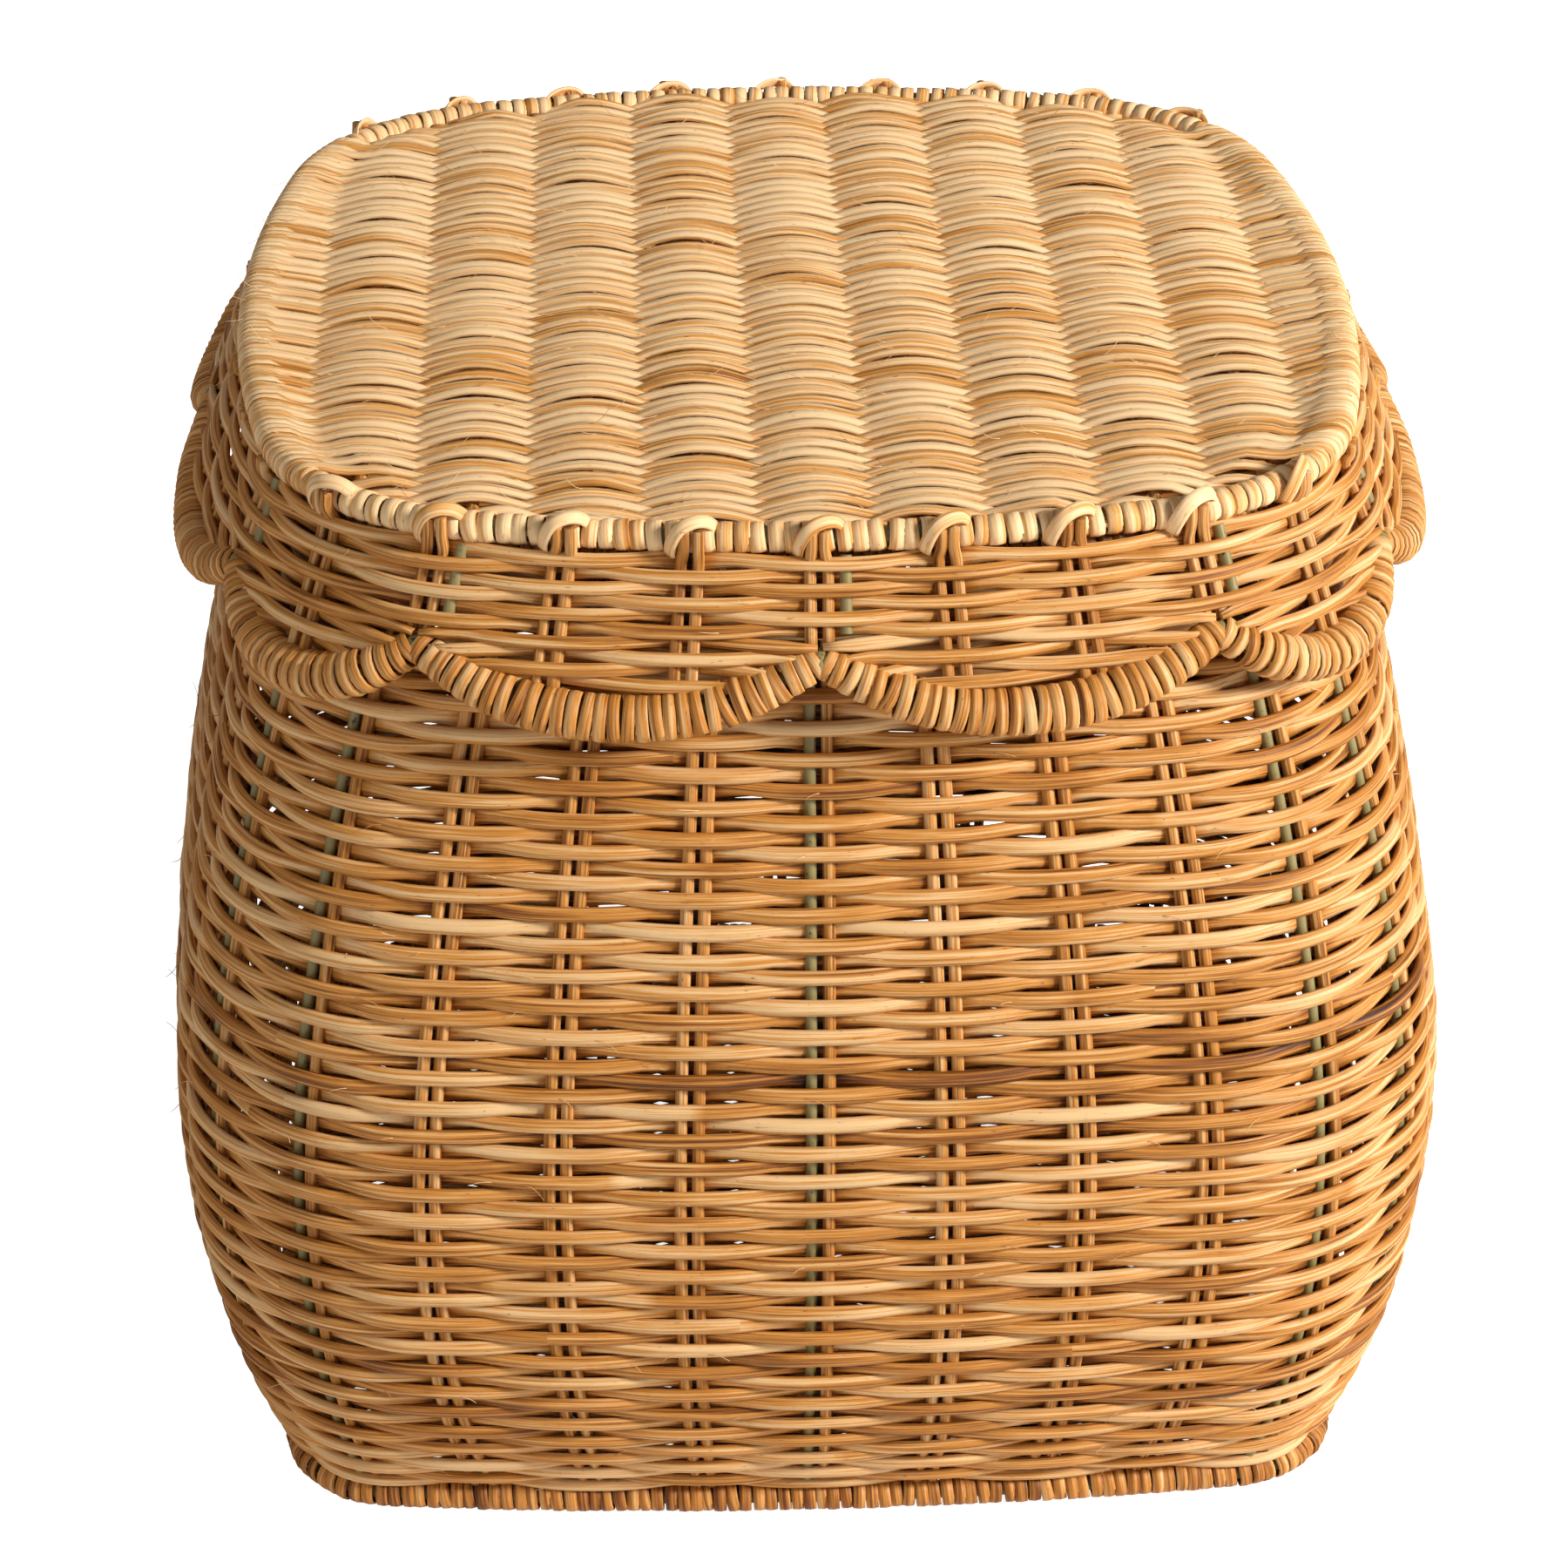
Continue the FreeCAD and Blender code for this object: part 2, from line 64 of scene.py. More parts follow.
# the wall's pairs that have a painted steel rod in place of their first stake
ROD_PLACES = (0, 4, 5, 9, 13, 14, 18, 22, 23, 27, 31, 32)
SIDES = ("front", "right", "back", "left")
BANDS = 7
SETTLING_ROUNDS = 5
ROW_SAMPLES = 8
CANES_IN_A_ROW = 3
BROWN_SHARE = 0.08
# how much taller a weaver spreads where it lies inside the stakes, and how far it sags there
BULGE = 0.85
SAG = 0.0008
# a row is a little taller than its pitch, so that rows press on each other
WALL_PRESS = 1.03
SKIRT_PRESS = 1.18
SLOPE_STEP = 0.004
WRAP_THICKNESS = 0.0014
WRAP_LEAN = 0.10
BORDER_PITCH = 0.0047
# from the lid's middle, front to back: its panel runs over the ring up to the first of these,
# and the ring is wrapped from the second
PANEL_OVER_RING = 0.150
RING_WRAPPED_FROM = 0.147
GRAIN_LENGTH = 40
UV_NAME = "cane_run"
TONE_NAME = "tone"


# ---------------------------------------------------------------- settings

def length(name, default, words):
    return bpy.props.FloatProperty(
        name=name, default=default, description=words, unit="LENGTH", min=0.0, precision=4)


def power(name, default, words):
    return bpy.props.FloatProperty(name=name, default=default, description=words, min=0.1)


def colour(name, default, words):
    return bpy.props.FloatVectorProperty(
        name=name, default=default, description=words, subtype="COLOR", size=3, min=0, max=1)


class HamperSizes(bpy.types.PropertyGroup):
    """The wall's shape, and the thickness of what it is woven from."""

    belly_half: length("Belly", 0.2349, "Half width at the belly")
    belly_corner: length("Belly corner", 0.050, "The corners' reach past the sides at the belly")
    belly_height: length("Belly height", 0.155, "Height of the belly")
    foot_inset: length("Foot inset", 0.040, "How far the sides draw in at the floor")
    foot_corner: length("Foot corner", 0.058, "The corners' reach past the sides at the floor")
    neck_inset: length("Neck inset", 0.049, "How far the sides draw in at the mouth")
    neck_corner: length("Neck corner", 0.0283, "The corners' reach past the sides at the mouth")
    side_radius: length("Side radius", 1.6, "Radius of the sides up to the belly")
    neck_side_radius: length("Neck side radius", 0.51, "Radius of the sides at the mouth")
    foot_curve: power("Foot curve", 2.4, "Power of the curve from belly to foot")
    neck_curve: power("Neck curve", 1.6, "Power of the curve from belly to mouth")
    stake: length("Stake", 0.0042, "Diameter of a stake")
    pair_gap: length("Pair gap", 0.0018, "Gap between the two uprights of a pair")
    strand: length("Weaver", 0.0042, "Thickness of a weaver in the wall")
    skirt_strand: length("Skirt weaver", 0.0040, "Thickness of a weaver in the skirt")
    wall_half: length("Half wall", 0.0053, "Stake line to the face of the wall")
    swing: length("Swing", 0.0029, "How far a weaver bends out round a stake")
    skirt_pitch: length("Skirt pitch", 0.0043, "Height from one row of the skirt to the next")
    skirt_clearance: length("Skirt clearance", 0.001, "Inside of the skirt to the bound mouth")
    skirt_gap: length("Skirt gap", 0.0088, "Border to the wall inside it, at the sides")
    skirt_corner_gap: length("Skirt corner gap", 0.004, "Border to the wall, at the corners")
    border: length("Border", 0.016, "Diameter of the wrapped border")
    panel_strand: length("Panel weaver", 0.0030, "Thickness of a weaver in the flat panels")


class HamperColours(bpy.types.PropertyGroup):
    """The colours of the cane, from its palest to its darkest, and of the steel."""

    pale: colour("Pale cane", (0.78, 0.50, 0.235), "Fresh straw-coloured cane")
    honey: colour("Honey cane", (0.58, 0.238, 0.040), "The usual colour of the weave")
    dark: colour("Brown cane", (0.23, 0.070, 0.009), "Old, brown cane")
    paint: colour("Paint", (0.185, 0.145, 0.050), "The painted steel")
    floor: colour("Floor", (0.93, 0.93, 0.93), "The floor it stands on")


def sizes():
    return bpy.context.scene.hamper_sizes


def colours():
    return bpy.context.scene.hamper_colours


# ---------------------------------------------------------------- outlines

class Outline:
    """A rounded square of four convex side arcs and four corner arcs, all tangent."""

    def __init__(self, half, diagonal, side):
        reach = side - half
        top = diagonal ** 2 + math.sqrt(2) * reach * diagonal + reach ** 2 - side ** 2
        under = 2 * diagonal + math.sqrt(2) * reach - 2 * side
        self.half, self.diagonal, self.side, self.reach = half, diagonal, side, reach
        self.corner = top / under
        self.corner_centre = (diagonal - self.corner) / math.sqrt(2)
        self.side_angle = math.atan2(self.corner_centre, self.corner_centre + reach)
        self.corner_angle = math.pi / 2 - 2 * self.side_angle
        self.side_length = 2 * self.side_angle * side
        self.length = 4 * (self.side_length + self.corner_angle * self.corner)

    def moved_out(self, distance, at_corners=None):
        corners = distance if at_corners is None else at_corners
        return Outline(self.half + distance, self.diagonal + corners, self.side + distance)

    def at(self, place):
        """Points and outward normals, both n by 3 at height 0, for an array of places."""
        along = np.mod(np.asarray(place, float) + 0.125, 1.0) * self.length
        quarter, along = np.divmod(along, self.length / 4)
        along = along - self.length / 8
        far = np.abs(along)
        on_side = far <= self.side_length / 2
        round_corner = self.side_angle + (far - self.side_length / 2) / self.corner
        angle = np.where(on_side, far / self.side, round_corner)
        sine, cosine = np.sin(angle), np.cos(angle)
        x = np.where(on_side, self.side * sine, self.corner_centre + self.corner * sine)
        y = np.where(on_side, self.reach - self.side * cosine,
                     -self.corner_centre - self.corner * cosine)
        sign = np.where(along < 0, -1.0, 1.0)
        x, nx, ny = x * sign, sine * sign, -cosine
        turn = quarter * math.pi / 2
        c, s = np.cos(turn), np.sin(turn)
        flat = np.zeros_like(x)
        point = np.stack((x * c - y * s, x * s + y * c, flat), -1)
        normal = np.stack((nx * c - ny * s, nx * s + ny * c, flat), -1)
        return point, normal

    def depth_at(self, x):
        """How far the outline is from the X axis at x, on its front."""
        if abs(x) < self.side * math.sin(self.side_angle):
            return math.sqrt(self.side ** 2 - x ** 2) - self.reach
        beyond = abs(x) - self.corner_centre
        return self.corner_centre + math.sqrt(max(0.0, self.corner ** 2 - beyond ** 2))


def middle_height(node):
    low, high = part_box(node)
    return (low.z + high.z) / 2


class Heights:
    """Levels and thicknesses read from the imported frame."""

    base_ring = middle_height("base_ring")
    mouth_ring = middle_height("mouth_ring")
    lid_ring = middle_height("lid_ring")
    body_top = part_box("mouth_binding")[1].z
    wall_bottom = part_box("wall_weave_1")[0].z
    wall_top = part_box("wall_weave_7")[1].z
    skirt_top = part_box("skirt_weave")[1].z
    weave_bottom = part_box("skirt_weave")[0].z
    ring_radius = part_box("lid_ring")[1].z - middle_height("lid_ring")
    lid_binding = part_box("lid_binding")[1].z - middle_height("lid_ring")
    binding = body_top - middle_height("mouth_ring")
    border_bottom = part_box("scallop_binding_1")[0].z


def wall_outline(height):
    """The body's stake line at this height."""
    size = sizes()
    below = max(0.0, (size.belly_height - height) / size.belly_height)
    above = max(0.0, (height - size.belly_height) / (Heights.body_top - size.belly_height))
    foot = below ** size.foot_curve
    neck = above ** size.neck_curve
    half = size.belly_half - size.foot_inset * foot - size.neck_inset * neck
    corner = size.belly_corner
    corner += (size.foot_corner - size.belly_corner) * foot
    corner += (size.neck_corner - size.belly_corner) * neck
    bend = 1 / size.side_radius
    bend += (1 / size.neck_side_radius - bend) * neck
    return Outline(half, half + corner, 1 / bend)


def pair_step():
    return (sizes().stake + sizes().pair_gap) / 2


def lid_outline():
    """The line of the lid's ring."""
    mouth = wall_outline(Heights.wall_top)
    ring_half = (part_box("lid_ring")[1].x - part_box("lid_ring")[0].x) / 2 - Heights.ring_radius
    return mouth.moved_out(ring_half - mouth.half)


def scallop_ends():
    """The first and last V of every scallop, as places in pairs."""
    return list(zip(VEES, VEES[1:] + (SKIRT_PAIRS,)))


class Skirt:
    """The lid's flared skirt: its stake line, and the arcs of its scalloped border."""

    def __init__(self):
        size = sizes()
        half_thickness = size.wall_half
        mouth = wall_outline(Heights.wall_top)
        self.border = size.border / 2
        self.top = Heights.skirt_top
        self.bottom = Heights.border_bottom + self.border
        self.vee = Heights.weave_bottom - self.border
        stand_off = half_thickness + self.border
        self.high = mouth.moved_out(Heights.binding + size.skirt_clearance + half_thickness)
        self.low = wall_outline(self.bottom).moved_out(
            stand_off + size.skirt_gap, stand_off + size.skirt_corner_gap)

    def point(self, place, height, out=0.0, across=0.0):
        """Points on the stake line, or off it by out, for arrays of places and heights."""
        place = np.atleast_1d(np.asarray(place, float))
        height = np.broadcast_to(np.asarray(height, float), place.shape)
        high, high_normal = self.high.at(place / SKIRT_PAIRS)
        low, low_normal = self.low.at(place / SKIRT_PAIRS)
        share = ((self.top - height) / (self.top - self.bottom))[:, None]
        point = high + (low - high) * share
        normal = high_normal + (low_normal - high_normal) * share
        normal /= np.linalg.norm(normal, axis=1)[:, None]
        along = np.stack((-normal[:, 1], normal[:, 0], 0 * height), -1)
        out = np.broadcast_to(np.asarray(out, float), place.shape)[:, None]
        across = np.broadcast_to(np.asarray(across, float), place.shape)[:, None]
        point = point + normal * out + along * across
        point[:, 2] = height
        return point, normal

    def border_height(self, place):
        """Height of the border's middle line at places in pairs."""
        place = np.mod(np.atleast_1d(np.asarray(place, float)), SKIRT_PAIRS)
        height = np.full(place.shape, self.vee)
        number = np.searchsorted(VEES, place, side="right") - 1
        first, _ = self.point(np.array(VEES)[number], self.vee)
        last, _ = self.point(np.array(VEES[1:] + (SKIRT_PAIRS,))[number], self.vee)
        middle, along = (first + last) / 2, unit(last - first)
        half_chord = np.linalg.norm(last - first, axis=1) / 2
        depth = self.vee - self.bottom
        radius = (half_chord ** 2 + depth ** 2) / (2 * depth)
        for _ in range(SETTLING_ROUNDS):
            point, _ = self.point(place, height)
            reach = ((point - middle) * along).sum(1)
            height = self.bottom + radius - np.sqrt(np.maximum(0, radius ** 2 - reach ** 2))
        return height


# ---------------------------------------------------------------- meshes

def unit(vectors):
    return vectors / np.maximum(np.linalg.norm(vectors, axis=-1, keepdims=True), 1e-12)


def upward(height):
    return np.array((0.0, 0.0, height))


def axes_at(outline, place):
    """A point of the outline, its outward normal and the way along the outline."""
    point, normal = outline.at([place])
    point, normal = point[0], normal[0]
    return point, normal, np.array((-normal[1], normal[0], 0))


def grain_start(random):
    """Where a cane starts on the grain, so that no two look alike."""
    return random.uniform(0, GRAIN_LENGTH, 2)


class Bundle:
    """Gathers strands and copied shapes, all of quads, into one mesh."""

    def __init__(self):
        self.points, self.faces, self.uvs, self.tones = [], [], [], []
        self.count = 0

    def add(self, points, faces, uvs, tones):
        self.points.append(points)
        self.faces.append(faces + self.count)
        self.uvs.append(uvs)
        self.tones.append(tones)
        self.count += len(points)

    def strand(self, path, out, width, thick, tone, sides=8, closed=False, shift=(0.0, 0.0)):
        """A cane along path, thick towards out and width across it."""
        count = len(path)
        if closed:
            tangent = unit(np.roll(path, -1, 0) - np.roll(path, 1, 0))
        else:
            tangent = unit(np.gradient(path, axis=0))
        side = unit(np.cross(tangent, out))
        out = np.cross(side, tangent)
        angle = (np.arange(sides) + 0.5) * 2 * math.pi / sides
        thick = np.broadcast_to(np.asarray(thick, float), count)[:, None, None] / 2
        width = np.broadcast_to(np.asarray(width, float), count)[:, None, None] / 2
        points = (path[:, None, :] + out[:, None, :] * thick * np.cos(angle)[None, :, None]
                  + side[:, None, :] * width * np.sin(angle)[None, :, None])
        rows = count if closed else count - 1
        i = np.repeat(np.arange(rows), sides)
        j = np.tile(np.arange(sides), rows)
        i2 = (i + 1) % count
        j2 = (j + 1) % sides
        faces = np.stack((i * sides + j, i * sides + j2, i2 * sides + j2, i2 * sides + j), 1)
        steps = np.linalg.norm(np.roll(path, -1, 0) - path, axis=1)
        run = shift[0] + np.concatenate(([0.0], np.cumsum(steps)))
        turn = shift[1] + np.arange(sides + 1) * math.pi * float(np.mean(thick + width)) / sides
        uvs = np.stack((np.stack((run[i], turn[j]), 1), np.stack((run[i], turn[j + 1]), 1),
                        np.stack((run[i + 1], turn[j + 1]), 1), np.stack((run[i + 1], turn[j]), 1)), 1)
        if not closed:
            fan = np.arange(1, sides - 2, 2)
            first = np.stack((0 * fan, fan + 2, fan + 1, fan), 1)
            last = np.stack((0 * fan, fan, fan + 1, fan + 2), 1) + (count - 1) * sides
            faces = np.concatenate((faces, first, last))
            ends = np.repeat([run[0], run[count - 1]], len(fan))
            cap = np.stack((ends, np.full(len(ends), shift[1])), 1)
            corner = np.array(((0, 0), (0.001, 0), (0.001, 0.001), (0, 0.001)))
            uvs = np.concatenate((uvs, cap[:, None, :] + corner[None]))
        tones = np.repeat(np.broadcast_to(np.asarray(tone, float), count), sides)
        self.add(points.reshape(-1, 3), faces, uvs, tones)

    def copy(self, shape, matrix, tone, shift=(0.0, 0.0)):
        """Adds a copy of a modelled shape, moved by a 4 by 4 matrix."""
        points, faces, uvs = shape
        matrix = np.asarray(matrix)
        moved = points @ matrix[:3, :3].T + matrix[:3, 3]
        self.add(moved, faces, uvs + np.asarray(shift), np.full(len(points), tone))

    def make(self, name, material, body, slot, replaced=()):
        """The finished piece: a mesh at the origin that rides on a body of the frame."""
        points = np.concatenate(self.points)
        faces = np.concatenate(self.faces)
        mesh = bpy.data.meshes.new(name)
        mesh.from_pydata(points.tolist(), [], faces.tolist())
        layer = mesh.uv_layers.new(name=UV_NAME)
        layer.data.foreach_set("uv", np.concatenate(self.uvs).reshape(-1).astype(np.float32))
        tones = mesh.attributes.new(TONE_NAME, "FLOAT", "POINT")
        tones.data.foreach_set("value", np.concatenate(self.tones).astype(np.float32))
        mesh.shade_smooth()
        piece = bpy.data.objects.new(name, mesh)
        bpy.context.scene.collection.objects.link(piece)
        mesh.materials.append(material)
        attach(piece, body)
        if replaced:
            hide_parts(*replaced)
        return piece


def facing(origin, along, out, lean):
    """A matrix whose Z runs along, X points out, leant over by an angle about out."""
    along, out = Vector(along).normalized(), Vector(out)
    out = (out - along * out.dot(along)).normalized()
    side = along.cross(out)
    matrix = Matrix((out, side, along)).transposed().to_4x4()
    return Matrix.Translation(Vector(origin)) @ matrix @ Matrix.Rotation(lean, 4, "X")


def smooth_noise(random, count, samples, closed=True, amount=1.0):
    """Random values at count points, blended smoothly between them."""
    knots = random.uniform(-1, 1, count if closed else count + 1)
    where = np.linspace(0, count, count * samples, endpoint=False)
    low = np.floor(where).astype(int)
    part = where - low
    part = part * part * (3 - 2 * part)
    high = (low + 1) % len(knots)
    return amount * (knots[low % len(knots)] * (1 - part) + knots[high] * part)


def over_under(where, ducking=0.7, flat=0.08):
    """+1 at even numbers and -1 at odd ones. Under 1, ducking keeps a cane outside for longer."""
    near = np.abs(np.mod(where, 2.0) - 1)
    return -np.cos(math.pi * np.clip(near / (1 - flat), 0, 1) ** ducking)


def spline(points, samples):
    """A smooth open curve through given points."""
    points = np.asarray(points, float)
    padded = np.concatenate((2 * points[:1] - points[1:2], points, 2 * points[-1:] - points[-2:-1]))
    out = []
    for index in range(len(points) - 1):
        a, b, c, d = padded[index:index + 4]
        for t in np.arange(samples) / samples:
            out.append(0.5 * ((2 * b) + (c - a) * t + (2 * a - 5 * b + 4 * c - d) * t ** 2
                              + (3 * b - a - 3 * c + d) * t ** 3))
    out.append(points[-1])
    return np.array(out)


def deselect():
    bpy.ops.object.select_all(action="DESELECT")


def modelled_wrap(radius, width, thickness):
    """One turn of flat cane, its hole along Z, modelled once to be copied."""
    deselect()
    bpy.ops.mesh.primitive_torus_add(
        major_radius=radius - thickness / 2, minor_radius=thickness / 2,
        major_segments=14, minor_segments=6, location=(0, 0, 0))
    ring = bpy.context.object
    bpy.ops.object.mode_set(mode="EDIT")
    bpy.ops.mesh.select_all(action="SELECT")
    bpy.ops.transform.resize(value=(1, 1, width / thickness))
    bpy.ops.object.mode_set(mode="OBJECT")
    return taken_shape(ring, (2 * math.pi * radius, 2 * width))


def taken_shape(model, uv_size):
    """The points, quads and UVs of a modelled shape, which is then removed."""
    mesh = model.data
    points = np.array([vertex.co for vertex in mesh.vertices])
    faces = np.array([tuple(face.vertices) for face in mesh.polygons])
    uvs = np.array([loop.uv for loop in mesh.uv_layers[0].data]).reshape(len(faces), 4, 2)
    bpy.data.objects.remove(model)
    return points, faces, uvs * np.asarray(uv_size)


# ---------------------------------------------------------------- materials

def add_node(tree, kind, **settings):
    made = tree.nodes.new(kind)
    for name, value in settings.items():
        setattr(made, name, value)
    return made


def link(tree, start, end):
    tree.links.new(start, end)


def maths(tree, operation, first, second=None, third=None, clamp=False):
    made = add_node(tree, "ShaderNodeMath", operation=operation, use_clamp=clamp)
    for socket, value in zip(made.inputs, (first, second, third)):
        if value is None:
            continue
        if isinstance(value, (int, float)):
            socket.default_value = value
        else:
            link(tree, value, socket)
    return made.outputs[0]


def mix_colours(tree, factor, first, second, blend="MIX"):
    made = add_node(tree, "ShaderNodeMix", data_type="RGBA", blend_type=blend)
    for socket, value in ((made.inputs[0], factor), (made.inputs[6], first), (made.inputs[7], second)):
        if isinstance(value, (int, float)):
            socket.default_value = value
        elif isinstance(value, tuple):
            socket.default_value = (*value, 1.0)
        else:
            link(tree, value, socket)
    return made.outputs[2]


def stretched_noise(tree, vector, scale, detail=2.0, roughness=0.5, offset=(0, 0, 0)):
    """Noise stretched along the cane. Scale is in features per metre, along and across."""
    mapping = add_node(tree, "ShaderNodeMapping")
    mapping.inputs["Scale"].default_value = (scale[0], scale[1], scale[2] if len(scale) > 2 else 1.0)
    mapping.inputs["Location"].default_value = offset
    link(tree, vector, mapping.inputs["Vector"])
    noise = add_node(tree, "ShaderNodeTexNoise")
    noise.inputs["Scale"].default_value = 1.0
    noise.inputs["Detail"].default_value = detail
    noise.inputs["Roughness"].default_value = roughness
    link(tree, mapping.outputs[0], noise.inputs["Vector"])
    return noise.outputs[0]


def new_material(name):
    """A new material, its node tree and its shader."""
    material = bpy.data.materials.new(name)
    material.use_nodes = True
    return material, material.node_tree, material.node_tree.nodes["Principled BSDF"]


def add_relief(tree, shader, height, strength, distance):
    relief = add_node(tree, "ShaderNodeBump")
    relief.inputs["Strength"].default_value = strength
    relief.inputs["Distance"].default_value = distance
    link(tree, height, relief.inputs["Height"])
    link(tree, relief.outputs[0], shader.inputs["Normal"])


def new_group(name, inputs, outputs):
    tree = bpy.data.node_groups.new(name, "ShaderNodeTree")
    for socket, kind, value in inputs:
        made = tree.interface.new_socket(socket, in_out="INPUT", socket_type=kind)
        if value is not None:
            made.default_value = value
    for socket, kind in outputs:
        tree.interface.new_socket(socket, in_out="OUTPUT", socket_type=kind)
    return tree, add_node(tree, "NodeGroupInput"), add_node(tree, "NodeGroupOutput")


def cane_group():
    """Colour, roughness and relief of cane, from a place along it and its tone."""
    found = bpy.data.node_groups.get("Cane")
    if found:
        return found
    tree, given, result = new_group(
        "Cane",
        (("Along", "NodeSocketVector", None), ("Tone", "NodeSocketFloat", 0.5),
         ("Pale", "NodeSocketColor", None), ("Honey", "NodeSocketColor", None),
         ("Brown", "NodeSocketColor", None), ("Streaks", "NodeSocketFloat", 1.0),
         ("Specks", "NodeSocketFloat", 1.0)),
        (("Colour", "NodeSocketColor"), ("Roughness", "NodeSocketFloat"),
         ("Height", "NodeSocketFloat")))
    along = given.outputs["Along"]
    fibre = stretched_noise(tree, along, (34, 1900), 4.0, 0.65)
    vein = stretched_noise(tree, along, (11, 620), 2.0, 0.5, (7, 3, 1))
    blotch = stretched_noise(tree, along, (26, 90), 3.0, 0.55, (3, 11, 5))
    nicks = stretched_noise(tree, along, (260, 1300), 3.0, 0.6, (9, 1, 2))
    streak = maths(tree, "ADD", maths(tree, "MULTIPLY", fibre, 0.4), maths(tree, "MULTIPLY", vein, 0.6))
    streak = maths(tree, "SUBTRACT", streak, 0.5)
    streak = maths(tree, "MULTIPLY", streak, given.outputs["Streaks"])
    shade = maths(tree, "MULTIPLY_ADD", streak, 3.8, given.outputs["Tone"])
    shade = maths(tree, "MULTIPLY_ADD", maths(tree, "SUBTRACT", blotch, 0.5), 0.55, shade)
    to_honey = maths(tree, "MULTIPLY", shade, 2.0, clamp=True)
    to_pale = maths(tree, "MULTIPLY_ADD", shade, 2.0, -1.0, clamp=True)
    tint = mix_colours(tree, to_honey, given.outputs["Brown"], given.outputs["Honey"])
    tint = mix_colours(tree, to_pale, tint, given.outputs["Pale"])
    # Painted shade, partly: tones below zero are mixed towards near-black. They come mostly from the
    # darkening put on weavers behind the stakes and in the dips of the panels, which is painted shade,
    # and in part from dark streaks of the grain on the darker canes.
    dark_grain_and_shade = maths(tree, "MULTIPLY", shade, -2.2, clamp=True)
    tint = mix_colours(tree, dark_grain_and_shade, tint, (0.035, 0.010, 0.002))
    nick = maths(tree, "MULTIPLY", maths(tree, "SUBTRACT", nicks, 0.66), 9.0, clamp=True)
    nick = maths(tree, "MULTIPLY", nick, given.outputs["Specks"], clamp=True)
    tint = mix_colours(tree, nick, tint, (0.10, 0.045, 0.015))
    link(tree, tint, result.inputs["Colour"])
    rough = maths(tree, "MULTIPLY_ADD", streak, -0.5, 0.52)
    link(tree, rough, result.inputs["Roughness"])
    height = maths(tree, "MULTIPLY_ADD", nick, -0.5, streak)
    link(tree, height, result.inputs["Height"])
    return tree


def cane_material(name, pale=1.0, warm=0.0, from_object=None):
    """Cane whose grain follows its UVs, or the object's own axes where it has none."""
    found = bpy.data.materials.get(name)
    if found:
        return found
    material, tree, shader = new_material(name)
    group = add_node(tree, "ShaderNodeGroup", node_tree=cane_group())
    if from_object is None:
        run = add_node(tree, "ShaderNodeUVMap", uv_map=UV_NAME)
        link(tree, run.outputs[0], group.inputs["Along"])
        tone = add_node(tree, "ShaderNodeAttribute", attribute_name=TONE_NAME)
        link(tree, tone.outputs["Fac"], group.inputs["Tone"])
    else:
        place = add_node(tree, "ShaderNodeTexCoord")
        turned = add_node(tree, "ShaderNodeMapping")
        turned.inputs["Rotation"].default_value = from_object
        link(tree, place.outputs["Object"], turned.inputs["Vector"])
        link(tree, turned.outputs[0], group.inputs["Along"])
    palette = colours()
    for socket, value in (("Pale", palette.pale), ("Honey", palette.honey), ("Brown", palette.dark)):
        red, green, blue = (channel * pale for channel in value)
        tinted = (red, green * (1 - 0.10 * warm), blue * (1 - 0.30 * warm), 1.0)
        group.inputs[socket].default_value = tinted
    link(tree, group.outputs["Colour"], shader.inputs["Base Color"])
    link(tree, group.outputs["Roughness"], shader.inputs["Roughness"])
    add_relief(tree, shader, group.outputs["Height"], 0.8, 0.0006)
    shader.inputs["Specular IOR Level"].default_value = 0.3
    return material


def paint_material():
    """Olive paint on the steel, a little uneven, with darker chips."""
    name = "olive painted steel"
    found = bpy.data.materials.get(name)
    if found:
        return found
    material, tree, shader = new_material(name)
    place = add_node(tree, "ShaderNodeTexCoord").outputs["Object"]
    cloud = stretched_noise(tree, place, (60, 60, 60), 3.0)
    chips = stretched_noise(tree, place, (420, 420, 260), 2.0, 0.6, (4, 4, 4))
    chip = maths(tree, "MULTIPLY", maths(tree, "SUBTRACT", chips, 0.66), 12.0, clamp=True)
    paint = tuple(colours().paint)
    worn = tuple(channel * 1.7 for channel in paint)
    tint = mix_colours(tree, cloud, paint, worn)
    tint = mix_colours(tree, chip, tint, (0.035, 0.025, 0.015))
    link(tree, tint, shader.inputs["Base Color"])
    rough = maths(tree, "MULTIPLY_ADD", cloud, 0.25, 0.28)
    link(tree, rough, shader.inputs["Roughness"])
    add_relief(tree, shader, maths(tree, "SUBTRACT", cloud, chip), 0.4, 0.0003)
    return material


def weaver_cane():
    return cane_material("weaver cane")


def stake_cane():
    return cane_material("stake cane", pale=0.92)


def wrap_cane():
    return cane_material("wrap cane", pale=0.95, warm=0.3)


def rim_cane():
    return cane_material("rim wrap cane", pale=1.14, warm=-0.5)


def panel_cane():
    return cane_material("panel cane", pale=1.10, warm=-0.6)


def rib_cane():
    return cane_material("rib cane", pale=0.9, from_object=(0, 0, math.pi / 2))


# ---------------------------------------------------------------- the wall

